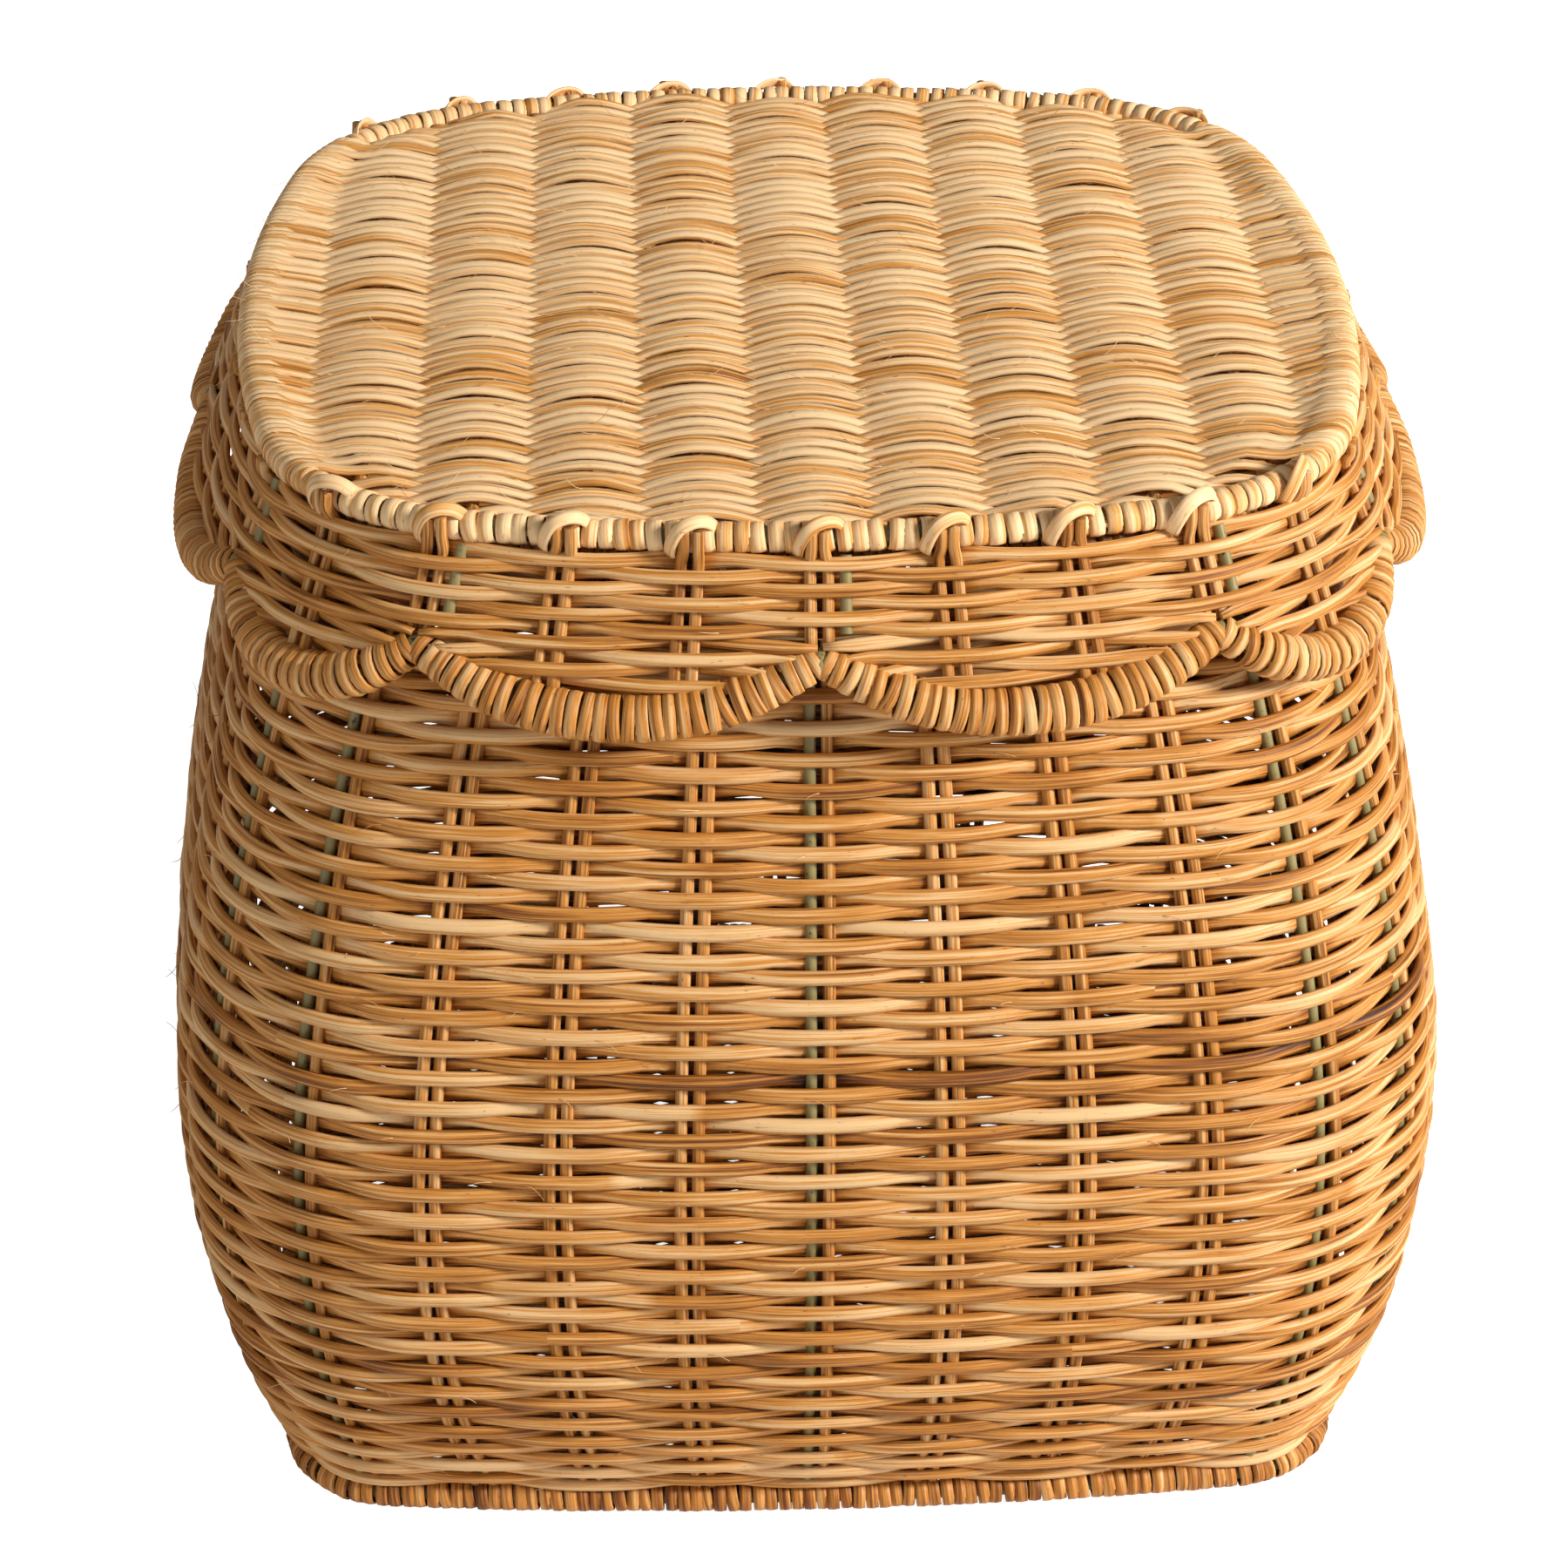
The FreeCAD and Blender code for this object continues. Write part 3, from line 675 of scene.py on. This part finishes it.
def woven_row(bundle, line, number, random, thick, tall, tones, pairs=UPRIGHTS):
    """A closed row of plain weave. line(where, lift, rise) gives its points and normals."""
    samples = ROW_SAMPLES
    count = pairs * samples
    where = (np.arange(count) + random.integers(count)) / samples
    swing = over_under(where + number)
    lift = swing * sizes().swing
    lift += smooth_noise(random, pairs, samples, amount=0.0003)
    rise = smooth_noise(random, pairs, samples, amount=0.0003)
    rise += smooth_noise(random, pairs // 4, samples * 4, amount=0.0004)
    gauge = 1 + smooth_noise(random, pairs // 2, samples * 2, amount=0.09)
    behind = np.clip(-swing, 0, 1)
    points, normals = line(where, lift, rise - SAG * behind)
    joins = np.sort(random.uniform(0, pairs, CANES_IN_A_ROW))
    shades = random.uniform(*tones, CANES_IN_A_ROW)
    shades += np.where(random.uniform(0, 1, CANES_IN_A_ROW) < BROWN_SHARE, -0.25, 0.0)
    tone = shades[np.searchsorted(joins, np.mod(where, pairs)) % CANES_IN_A_ROW]
    tone = tone + smooth_noise(random, pairs, samples, amount=0.10)
    # Painted shade: where a weaver runs deep behind the stakes its tone is lowered, darkening it
    # towards near-black there.
    painted_shade_behind = np.clip(2.8 * behind - 1.7, 0, 1)
    bundle.strand(points, normals, tall * gauge * (1 + BULGE * behind), thick * gauge,
                  tone - painted_shade_behind, closed=True, shift=grain_start(random))
    splinters(bundle, points, normals, lift > 0, thick, random, 5)


def splinters(bundle, points, normals, outside, thick, random, count):
    """Fine fibres that have lifted off the face of a cane."""
    places = np.flatnonzero(outside)
    for place in random.choice(places, min(count, len(places)), replace=False):
        start, out = points[place], normals[place]
        along = unit(points[(place + 1) % len(points)] - start) * random.choice((-1, 1))
        across = np.cross(along, out)
        reach = random.uniform(0.003, 0.009)
        lean, turn = random.uniform(0.15, 0.7), random.uniform(-0.6, 0.6)
        share = np.array((0.0, 0.35, 0.7, 1.0))[:, None]
        path = start + out * (thick * 0.46) + along * reach * share
        path = path + (out * lean + across * turn) * reach * share ** 2
        bundle.strand(path, np.tile(out, (4, 1)), (0.0004, 0.00035, 0.0003, 0.0001), 0.0002,
                      random.uniform(0.6, 1.1), sides=4, shift=grain_start(random))


def row_heights():
    """Heights of the wall's rows: close at the foot, widest low down, then closer upwards."""
    low, high = Heights.wall_bottom, Heights.wall_top
    pitches = []
    share = 0.0
    while share < 1.0:
        pitch = 0.0053 + 0.0007 * (1 - share) - 0.0018 * math.exp(-share / 0.05)
        pitches.append(pitch)
        share += pitch / (high - low)
    pitches = np.array(pitches)
    total = np.cumsum(pitches)
    heights = total - pitches / 2
    return low + heights * (high - low) / total[-1], pitches * (high - low) / total[-1]


class HAMPER_OT_wall_weave(bpy.types.Operator):
    """Weave the body's wall in seven bands"""

    bl_idname = "hamper.wall_weave"
    bl_label = "Wall weave"

    def execute(self, context):
        random = np.random.default_rng(11)
        heights, pitches = row_heights()
        bands = [Bundle() for _ in range(BANDS)]
        tops = [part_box("wall_weave_%d" % (band + 1))[1].z for band in range(BANDS)]
        size = sizes()
        for number, (height, pitch) in enumerate(zip(heights, pitches)):
            outline = wall_outline(height)
            above, below = wall_outline(height + SLOPE_STEP), wall_outline(height - SLOPE_STEP)
            slope = (above.half - below.half) / (2 * SLOPE_STEP)

            def line(where, lift, rise):
                points, normals = outline.at(where / UPRIGHTS)
                points = points + normals * (lift + slope * rise)[:, None]
                points[:, 2] = height + rise
                tilted = normals.copy()
                tilted[:, 2] = -slope
                return points, unit(tilted)

            band = min(int(np.searchsorted(tops, height)), BANDS - 1)
            share = height / Heights.wall_top
            tall = pitch * math.hypot(1, slope) * WALL_PRESS
            woven_row(bands[band], line, number, random, size.strand, tall,
                      (0.24 + 0.06 * share, 0.86 + 0.08 * share))
        for band, bundle in enumerate(bands, 1):
            node = "wall_weave_%d" % band
            bundle.make("body_rows_%d" % band, weaver_cane(), "hamper", "weaver_cane", (node,))
        return {"FINISHED"}


def side_of(place):
    return SIDES[int(((place + UPRIGHTS / 8) % UPRIGHTS) // (UPRIGHTS / 4))]


class HAMPER_OT_wall_stakes(bpy.types.Operator):
    """Stand the paired cane stakes that the wall is woven on"""

    bl_idname = "hamper.wall_stakes"
    bl_label = "Wall stakes"

    def execute(self, context):
        random = np.random.default_rng(23)
        size = sizes()
        heights = np.linspace(Heights.wall_bottom, Heights.wall_top, 26)
        outlines = [wall_outline(height) for height in heights]
        bundles = {side: Bundle() for side in SIDES}

        def waver(amount):
            return smooth_noise(random, 5, 6, closed=False, amount=amount)[:len(heights)]

        for place in range(UPRIGHTS):
            for across in (-pair_step(), pair_step()):
                if place in ROD_PLACES and across < 0:
                    continue
                path, outs = [], []
                for height, outline in zip(heights, outlines):
                    point, normal, along = axes_at(outline, place / UPRIGHTS)
                    path.append(point + along * across + upward(height))
                    outs.append(normal)
                path, outs = np.array(path), np.array(outs)
                path += np.cross(outs, (0, 0, 1)) * waver(0.0003)[:, None]
                gauge = size.stake * (1.12 + waver(0.05))
                tone = random.uniform(0.38, 0.66) + waver(0.06)
                bundles[side_of(place)].strand(
                    path, outs, gauge, gauge, tone, shift=grain_start(random))
        for side, bundle in bundles.items():
            bundle.make("stakes_" + side, stake_cane(), "hamper", "stake_cane",
                        ("wall_stakes_" + side,))
        return {"FINISHED"}


# ---------------------------------------------------------------- bindings

def wrapped_ring(outline, height, radius, random, pitch, width, tone, wrapped=None, floor=None):
    """Turns of flat cane round a ring, each a copy of one modelled turn."""
    bundle = Bundle()
    shape = modelled_wrap(radius, width, WRAP_THICKNESS)
    count = int(round(outline.length / pitch))
    for index in range(count):
        place = (index + 0.5) / count
        if wrapped is not None and not wrapped(place):
            continue
        place += random.uniform(-0.10, 0.10) / count
        point, normal, along = axes_at(outline, place)
        point = point + upward(height) + normal * random.uniform(-0.0003, 0.0003)
        matrix = np.array(facing(point, along, normal, random.normal(WRAP_LEAN, 0.06)))
        matrix[:3, :3] *= random.uniform(0.96, 1.03)
        bundle.copy(shape, matrix, random.uniform(*tone), grain_start(random))
        if floor is not None:
            moved = bundle.points[-1]
            moved[:, 2] = np.maximum(moved[:, 2], floor)
    return bundle


class HAMPER_OT_body_bindings(bpy.types.Operator):
    """Wrap the base ring and the mouth ring in cane"""

    bl_idname = "hamper.body_bindings"
    bl_label = "Body bindings"

    def execute(self, context):
        random = np.random.default_rng(31)
        base = wrapped_ring(wall_outline(Heights.wall_bottom), Heights.base_ring, Heights.binding,
                            random, pitch=0.0047, width=0.0052, tone=(0.16, 0.46), floor=0.0)
        base.make("base_wrapping", wrap_cane(), "hamper", "wrap_cane", ("base_binding",))
        mouth = wrapped_ring(wall_outline(Heights.wall_top), Heights.mouth_ring, Heights.binding,
                             random, pitch=0.0050, width=0.0053, tone=(0.40, 0.70))
        mouth.make("mouth_wrapping", wrap_cane(), "hamper", "wrap_cane", ("mouth_binding",))
        return {"FINISHED"}


# ---------------------------------------------------------------- flat panels

def woven_panel(outline, height, random, tone, pitch, wide, rise, on_lid):
    """Weavers running left to right over and under the ribs of a flat panel."""
    bundle = Bundle()
    thick = sizes().panel_strand
    rib_pitch = 2 * (outline.half - (Heights.lid_binding if on_lid else Heights.binding)) / (RIBS + 1)
    inner = outline.moved_out(-Heights.ring_radius - thick / 2)
    count = int(2 * inner.half / pitch)
    for number in range(count):
        y = (number + 0.5 - count / 2) * pitch
        over_ring = on_lid and abs(y) < PANEL_OVER_RING
        reach = inner.depth_at(y)
        steps = max(8, int(2 * reach / rib_pitch * 9))
        x = np.linspace(-reach, reach, steps)
        swing = over_under(x / rib_pitch + number, 1.0, 0.0)
        rim = np.clip((reach - np.abs(x)) / (0.45 * rib_pitch), 0, 1)
        swell = np.interp(x, np.linspace(-reach, reach, 12), random.uniform(0.72, 1.20, 12))
        z = height + swing * rise * rim * swell
        if over_ring:
            z = z + (1 - rim) ** 2 * (Heights.ring_radius + thick * 0.45)
        wobble = np.interp(x, np.linspace(-reach, reach, 12), random.uniform(-1, 1, 12)) * 0.0009
        path = np.stack((x, y + wobble, z), 1)
        outs = np.tile((0.0, 0.0, 1.0), (steps, 1))
        broad = wide * (0.76 + 0.24 * np.abs(swing)) * random.uniform(0.92, 1.06)
        shade = random.uniform(*tone) + (-0.22 if random.uniform() < 0.06 else 0)
        if over_ring:
            path, outs, broad = over_the_ring(path, outs, broad, outline, height, thick, y)
        tones = shade + np.interp(np.linspace(0, 1, len(path)), np.linspace(0, 1, 9),
                                  random.uniform(-0.16, 0.16, 9))
        # Painted shade: the weaver is made darker where it dips below the panel's middle, under the
        # ribs and round the underside of the lid's ring.
        tones = tones - 0.60 * np.clip((height - path[:, 2]) / rise, 0, 1)
        bundle.strand(path, outs, broad, thick, tones, shift=grain_start(random))
        splinters(bundle, path, outs, path[:, 2] > height, thick, random, 3)
    return bundle


def over_the_ring(path, outs, broad, outline, height, thick, y):
    """Carries a weaver's two ends over the lid's ring, down its outside and under it."""
    radius = Heights.ring_radius + thick * 0.6
    ring = outline.depth_at(y)
    steps = 9
    turns = np.radians(np.linspace(95, -75, steps))
    inside = np.abs(path[:, 0]) < ring - radius * 0.7
    path, outs, broad = path[inside], outs[inside], broad[inside]
    wide = np.full(steps, broad.mean() * 0.76)
    for sign in (-1, 1):
        around = np.stack((sign * (ring + radius * np.cos(turns)), np.full(steps, y),
                           height + radius * np.sin(turns)), 1)
        away = np.stack((sign * np.cos(turns), np.zeros(steps), np.sin(turns)), 1)
        pairs = ((path, around), (outs, away), (broad, wide))
        if sign < 0:
            pairs = [(end[::-1], middle) for middle, end in pairs]
        path, outs, broad = (np.concatenate(pair) for pair in pairs)
    return path, outs, broad


class HAMPER_OT_panels(bpy.types.Operator):
    """Weave the base panel and the lid's top"""

    bl_idname = "hamper.panels"
    bl_label = "Woven panels"

    def execute(self, context):
        random = np.random.default_rng(47)
        base = woven_panel(wall_outline(Heights.wall_bottom), middle_height("base_weave"), random,
                           tone=(0.35, 0.65), pitch=0.0037, wide=0.0055, rise=0.0036, on_lid=False)
        base.make("base_panel", weaver_cane(), "hamper", "panel_cane", ("base_weave",))
        top = woven_panel(lid_outline(), Heights.lid_ring, random,
                          tone=(0.66, 1.12), pitch=0.00358, wide=0.0056, rise=0.0042, on_lid=True)
        top.make("lid_panel", panel_cane(), "lid", "panel_cane", ("lid_top_weave",))
        return {"FINISHED"}


# ---------------------------------------------------------------- rim and skirt

class HAMPER_OT_lid_rim(bpy.types.Operator):
    """Wrap the lid's ring along the front, the back and the corners"""

    bl_idname = "hamper.lid_rim"
    bl_label = "Lid rim"

    def execute(self, context):
        random = np.random.default_rng(53)
        outline = lid_outline()

        def wrapped(place):
            point, _ = outline.at([place])
            return abs(point[0][1]) > RING_WRAPPED_FROM

        bundle = wrapped_ring(outline, Heights.lid_ring, Heights.lid_binding, random,
                              pitch=0.0057, width=0.0062, tone=(0.68, 1.05), wrapped=wrapped)
        bundle.make("lid_rim_wrapping", rim_cane(), "lid", "wrap_cane", ("lid_binding",))
        return {"FINISHED"}


class HAMPER_OT_lid_loops(bpy.types.Operator):
    """Arch a flat cane over each pair of stake ends at the front and back of the rim"""

    bl_idname = "hamper.lid_loops"
    bl_label = "Rim loops"

    def execute(self, context):
        random = np.random.default_rng(59)
        outline = lid_outline()
        bundle = Bundle()
        half = (RIBS - 1) // 2
        places = list(range(-half, half + 1))
        places += [place + SKIRT_PAIRS // 2 for place in places]
        for place in places:
            centre, normal, along = axes_at(outline, place / SKIRT_PAIRS)
            grow = random.uniform(0.92, 1.08)
            arch = 1.0 if centre[1] < 0 else 0.6
            rim = Heights.lid_binding
            bends = ((-0.0078, rim * 0.85, -0.0046), (-0.0070, rim * 1.32, 0.0006),
                     (-0.0038, rim * 1.42, 0.0062), (0.0012, rim * 1.12, 0.0082),
                     (0.0058, rim * 0.62, 0.0072), (0.0088, rim * 0.10, 0.0038))
            points = [centre + along * side * grow + normal * out + upward(Heights.lid_ring + up * arch)
                      for side, out, up in bends]
            path = spline(points, 3)
            flat = unit(path - (centre + upward(Heights.lid_ring))) + normal * 0.3
            bundle.strand(path, flat, 0.0054 * grow, 0.0015, random.uniform(0.75, 1.05),
                          shift=grain_start(random))
        bundle.make("rim_loops", rim_cane(), "lid", "wrap_cane", ("lid_loops",))
        return {"FINISHED"}


def looped(place):
    """Whether a pair of the skirt ends at the front or back of the rim, under a loop."""
    half_turn = SKIRT_PAIRS // 2
    return abs((place + half_turn / 2) % half_turn - half_turn / 2) <= (RIBS - 1) // 2


class HAMPER_OT_skirt(bpy.types.Operator):
    """Weave the lid's skirt, its paired stakes and the tongues of its scallops"""

    bl_idname = "hamper.skirt"
    bl_label = "Lid skirt"

    def execute(self, context):
        random = np.random.default_rng(61)
        skirt = Skirt()
        thick = sizes().skirt_strand
        pitch = sizes().skirt_pitch
        slope = (skirt.low.half - skirt.high.half) / (skirt.top - skirt.bottom)
        tilt = np.array((0, 0, slope))
        rows = Bundle()
        height = skirt.top - 0.0012
        number = 0
        while height > Heights.weave_bottom + thick * 0.3:

            def line(where, lift, rise):
                points, normals = skirt.point(where, height + rise, out=lift)
                return points, unit(normals + tilt)

            woven_row(rows, line, number, random, thick, pitch * SKIRT_PRESS, (0.26, 0.82),
                      SKIRT_PAIRS)
            height -= pitch
            number += 1
        rows.make("skirt_rows", weaver_cane(), "lid", "weaver_cane", ("skirt_weave",))
        tongues = Bundle()
        while height > skirt.bottom + skirt.border:
            for ends in scallop_ends():
                self.short_row(tongues, skirt, ends, number, height, thick, tilt, random)
            height -= pitch
            number += 1
        tongues.make("scallop_rows", weaver_cane(), "lid", "weaver_cane", ("scallop_weave",))
        self.stakes(skirt, random)
        return {"FINISHED"}

    def short_row(self, bundle, skirt, ends, number, height, thick, tilt, random):
        """A row that fills part of a scallop, its ends tucked into the border."""
        where = np.linspace(ends[0] + 0.02, ends[1] - 0.02, 61)
        inside = skirt.border_height(where) + skirt.border * 0.4 < height
        if inside.sum() < 6:
            return
        first, last = where[inside][0], where[inside][-1]
        where = np.linspace(first, last, int((last - first) * 8) + 2)
        ends = np.minimum(where - first, last - where) / 0.35
        blend = np.clip(ends, 0, 1)
        lift = over_under(where + number) * sizes().swing
        lift = lift * blend + skirt.border * 0.5 * (1 - blend)
        rise = random.uniform(-0.0003, 0.0003)
        points, normals = skirt.point(where, height + rise, out=lift)
        taper = 0.55 + 0.45 * np.clip(ends * 1.4, 0, 1)
        tone = random.uniform(0.26, 0.82)
        bundle.strand(points, unit(normals + tilt), sizes().skirt_pitch * SKIRT_PRESS * taper,
                      thick * taper, tone, shift=grain_start(random))

    def stakes(self, skirt, random):
        """Stakes from the border up over the outside of the rim, where they are cut off."""
        bundle = Bundle()
        size = sizes()
        rim = lid_outline()
        for place in range(SKIRT_PAIRS):
            vee = place in VEES
            for across in (-pair_step(), pair_step()):
                bottom = Heights.weave_bottom - 0.004
                if not vee:
                    bottom = float(skirt.border_height(place + across * 0.5)[0]) + skirt.border * 0.6
                heights = np.array((bottom, (bottom + skirt.top) / 2, skirt.top - 0.004))
                path, _ = skirt.point(np.full(3, float(place)), heights, across=across)
                centre, normal, along = axes_at(rim, place / SKIRT_PAIRS)
                lean = across * random.uniform(0.5, 1.0)
                clear = Heights.lid_binding + size.stake * 0.45
                bends = ((clear, -0.001), (clear * 0.96, random.uniform(0.0045, 0.006)))
                if not looped(place):
                    bends = ((clear * 0.8, -0.006), (clear * 0.8, -0.002))
                for out, up in bends:
                    point = centre + normal * out + along * lean
                    path = np.concatenate((path, [point + upward(Heights.lid_ring + up)]))
                path = spline(path, 4)
                outs = np.tile(normal, (len(path), 1))
                gauge = size.stake * random.uniform(1.0, 1.16) * np.linspace(1, 0.9, len(path))
                bundle.strand(path, outs, gauge, gauge, random.uniform(0.30, 0.72),
                              shift=grain_start(random))
        bundle.make("skirt_stakes_bent", stake_cane(), "lid", "stake_cane", ("skirt_stakes",))


class HAMPER_OT_scallops(bpy.types.Operator):
    """Wrap each scallop of the border and add the welds at the Vs"""

    bl_idname = "hamper.scallops"
    bl_label = "Scalloped border"

    def execute(self, context):
        random = np.random.default_rng(67)
        skirt = Skirt()
        shape = modelled_wrap(skirt.border, width=0.0050, thickness=0.0015)
        for number, ends in enumerate(scallop_ends(), 1):
            # a hair short of the last V, which belongs to the next scallop
            where = np.linspace(ends[0], ends[1] - 1e-6, 241)
            heights = skirt.border_height(where)
            path, normals = skirt.point(where, heights)
            steps = np.linalg.norm(np.diff(path, axis=0), axis=1)
            run = np.concatenate(([0], np.cumsum(steps)))
            turns = int(run[-1] / BORDER_PITCH)
            bundle = Bundle()
            for turn in range(turns):
                share = (turn + 0.5) / turns
                index = int(np.searchsorted(run, share * run[-1]))
                index = min(max(index, 1), len(path) - 2)
                along = path[index + 1] - path[index - 1]
                from_end = min(share, 1 - share) * 2
                grow = 0.74 + 0.33 * min(1.0, from_end / 0.45)
                lean = random.normal(0.0, 0.07)
                matrix = facing(path[index], along, normals[index], lean)
                matrix = np.array(matrix @ Matrix.Diagonal((grow, grow, 1.0, 1.0)))
                bundle.copy(shape, matrix, random.uniform(0.36, 0.72), grain_start(random))
            bundle.make("scallop_wrapping_%d" % number, wrap_cane(), "lid", "wrap_cane",
                        ("scallop_binding_%d" % number,))
        self.welds(skirt, random)
        return {"FINISHED"}

    def welds(self, skirt, random):
        """A painted bead of weld where two scallops' wires meet a drop rod."""
        deselect()
        for number, vee in enumerate(VEES, 1):
            point, _ = skirt.point(vee, skirt.vee, out=0.0012)
            bpy.ops.mesh.primitive_ico_sphere_add(
                subdivisions=3, radius=0.0044, location=point[0],
                rotation=random.uniform(0, 3, 3), scale=random.uniform(0.85, 1.15, 3))
            bead = bpy.context.object
            bead.name = "weld_bead_%d" % number
            bpy.ops.object.transform_apply(location=True, rotation=True, scale=True)
            bpy.ops.object.shade_smooth()
            bead.data.materials.append(paint_material())
            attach(bead, "lid")
            deselect()


# ---------------------------------------------------------------- steel and ribs

class HAMPER_OT_frame_finish(bpy.types.Operator):
    """Paint the steel and give the ribs their cane"""

    bl_idname = "hamper.frame_finish"
    bl_label = "Steel and ribs"

    def execute(self, context):
        for name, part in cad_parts.items():
            material = None
            if name.endswith("_ring") or "_rods" in name or name == "scallop_wires":
                material = paint_material()
            elif "_rib_" in name:
                material = rib_cane()
            if material:
                part.data.materials.clear()
                part.data.materials.append(material)
        return {"FINISHED"}


# ---------------------------------------------------------------- stage

def soft_light(name, place, aim, size, power):
    deselect()
    bpy.ops.object.light_add(type="AREA", location=place)
    light = bpy.context.object
    light.name = name
    light.data.shape = "DISK"
    light.data.size = size
    light.data.energy = power
    light.rotation_euler = (Vector(aim) - Vector(place)).to_track_quat("-Z", "Y").to_euler()


class HAMPER_OT_stage(bpy.types.Operator):
    """Set the pale floor, the studio light and the camera"""

    bl_idname = "hamper.stage"
    bl_label = "Stage"

    def execute(self, context):
        deselect()
        bpy.ops.mesh.primitive_plane_add(size=14, location=(0, 0, -0.0002))
        floor = context.object
        floor.name = "floor"
        material, tree, shader = new_material("pale floor")
        shader.inputs["Base Color"].default_value = (*colours().floor, 1.0)
        shader.inputs["Roughness"].default_value = 0.9
        shader.inputs["Specular IOR Level"].default_value = 0.1
        shader.inputs["Emission Color"].default_value = (1, 1, 1, 1)
        seen = add_node(tree, "ShaderNodeLightPath").outputs["Is Camera Ray"]
        link(tree, maths(tree, "MULTIPLY", seen, 0.9), shader.inputs["Emission Strength"])
        floor.data.materials.append(material)
        world = bpy.data.worlds.new("studio")
        world.use_nodes = True
        sky = world.node_tree.nodes["Background"]
        sky.inputs["Color"].default_value = (1, 1, 1, 1)
        seen = add_node(world.node_tree, "ShaderNodeLightPath").outputs["Is Camera Ray"]
        strength = maths(world.node_tree, "MULTIPLY_ADD", seen, 0.79, 0.21)
        link(world.node_tree, strength, sky.inputs["Strength"])
        context.scene.world = world
        aim = (0, 0, 0.2)
        soft_light("key_light", (2.6, -1.3, 1.75), aim, 0.7, 150)
        soft_light("fill_light", (-1.9, -1.5, 1.3), aim, 1.4, 11)
        context.scene.view_settings.view_transform = "Standard"
        deselect()
        place, aim = Vector((-0.0661, -1.643, 1.1262)), Vector((-0.004, 0.0, 0.1976))
        bpy.ops.object.camera_add(location=place)
        camera = context.object
        camera.rotation_euler = (aim - place).to_track_quat("-Z", "Y").to_euler()
        camera.data.sensor_width = 36
        camera.data.lens = 110.6
        context.scene.camera = camera
        return {"FINISHED"}


# ---------------------------------------------------------------- panel and running

OPERATORS = (
    HAMPER_OT_stage, HAMPER_OT_wall_weave, HAMPER_OT_wall_stakes, HAMPER_OT_body_bindings,
    HAMPER_OT_panels, HAMPER_OT_lid_rim, HAMPER_OT_lid_loops, HAMPER_OT_skirt,
    HAMPER_OT_scallops, HAMPER_OT_frame_finish)


class HAMPER_PT_panel(bpy.types.Panel):
    """Lists the hamper's sizes, colours and pieces"""

    bl_label = "Woven hamper"
    bl_idname = "HAMPER_PT_panel"
    bl_space_type = "VIEW_3D"
    bl_region_type = "UI"
    bl_category = "Hamper"

    def draw(self, context):
        for group in (context.scene.hamper_sizes, context.scene.hamper_colours):
            for name in group.__annotations__:
                self.layout.prop(group, name)
        for operator in OPERATORS:
            self.layout.operator(operator.bl_idname)


CLASSES = (HamperSizes, HamperColours, *OPERATORS, HAMPER_PT_panel)


def register():
    for item in CLASSES:
        bpy.utils.register_class(item)
    bpy.types.Scene.hamper_sizes = bpy.props.PointerProperty(type=HamperSizes)
    bpy.types.Scene.hamper_colours = bpy.props.PointerProperty(type=HamperColours)


def unregister():
    del bpy.types.Scene.hamper_colours
    del bpy.types.Scene.hamper_sizes
    for item in reversed(CLASSES):
        bpy.utils.unregister_class(item)


def main():
    register()
    bpy.ops.hamper.stage()
    bpy.ops.hamper.wall_weave()
    bpy.ops.hamper.wall_stakes()
    bpy.ops.hamper.body_bindings()
    bpy.ops.hamper.panels()
    bpy.ops.hamper.lid_rim()
    bpy.ops.hamper.lid_loops()
    bpy.ops.hamper.skirt()
    bpy.ops.hamper.scallops()
    bpy.ops.hamper.frame_finish()


if __name__ == "__main__":
    main()
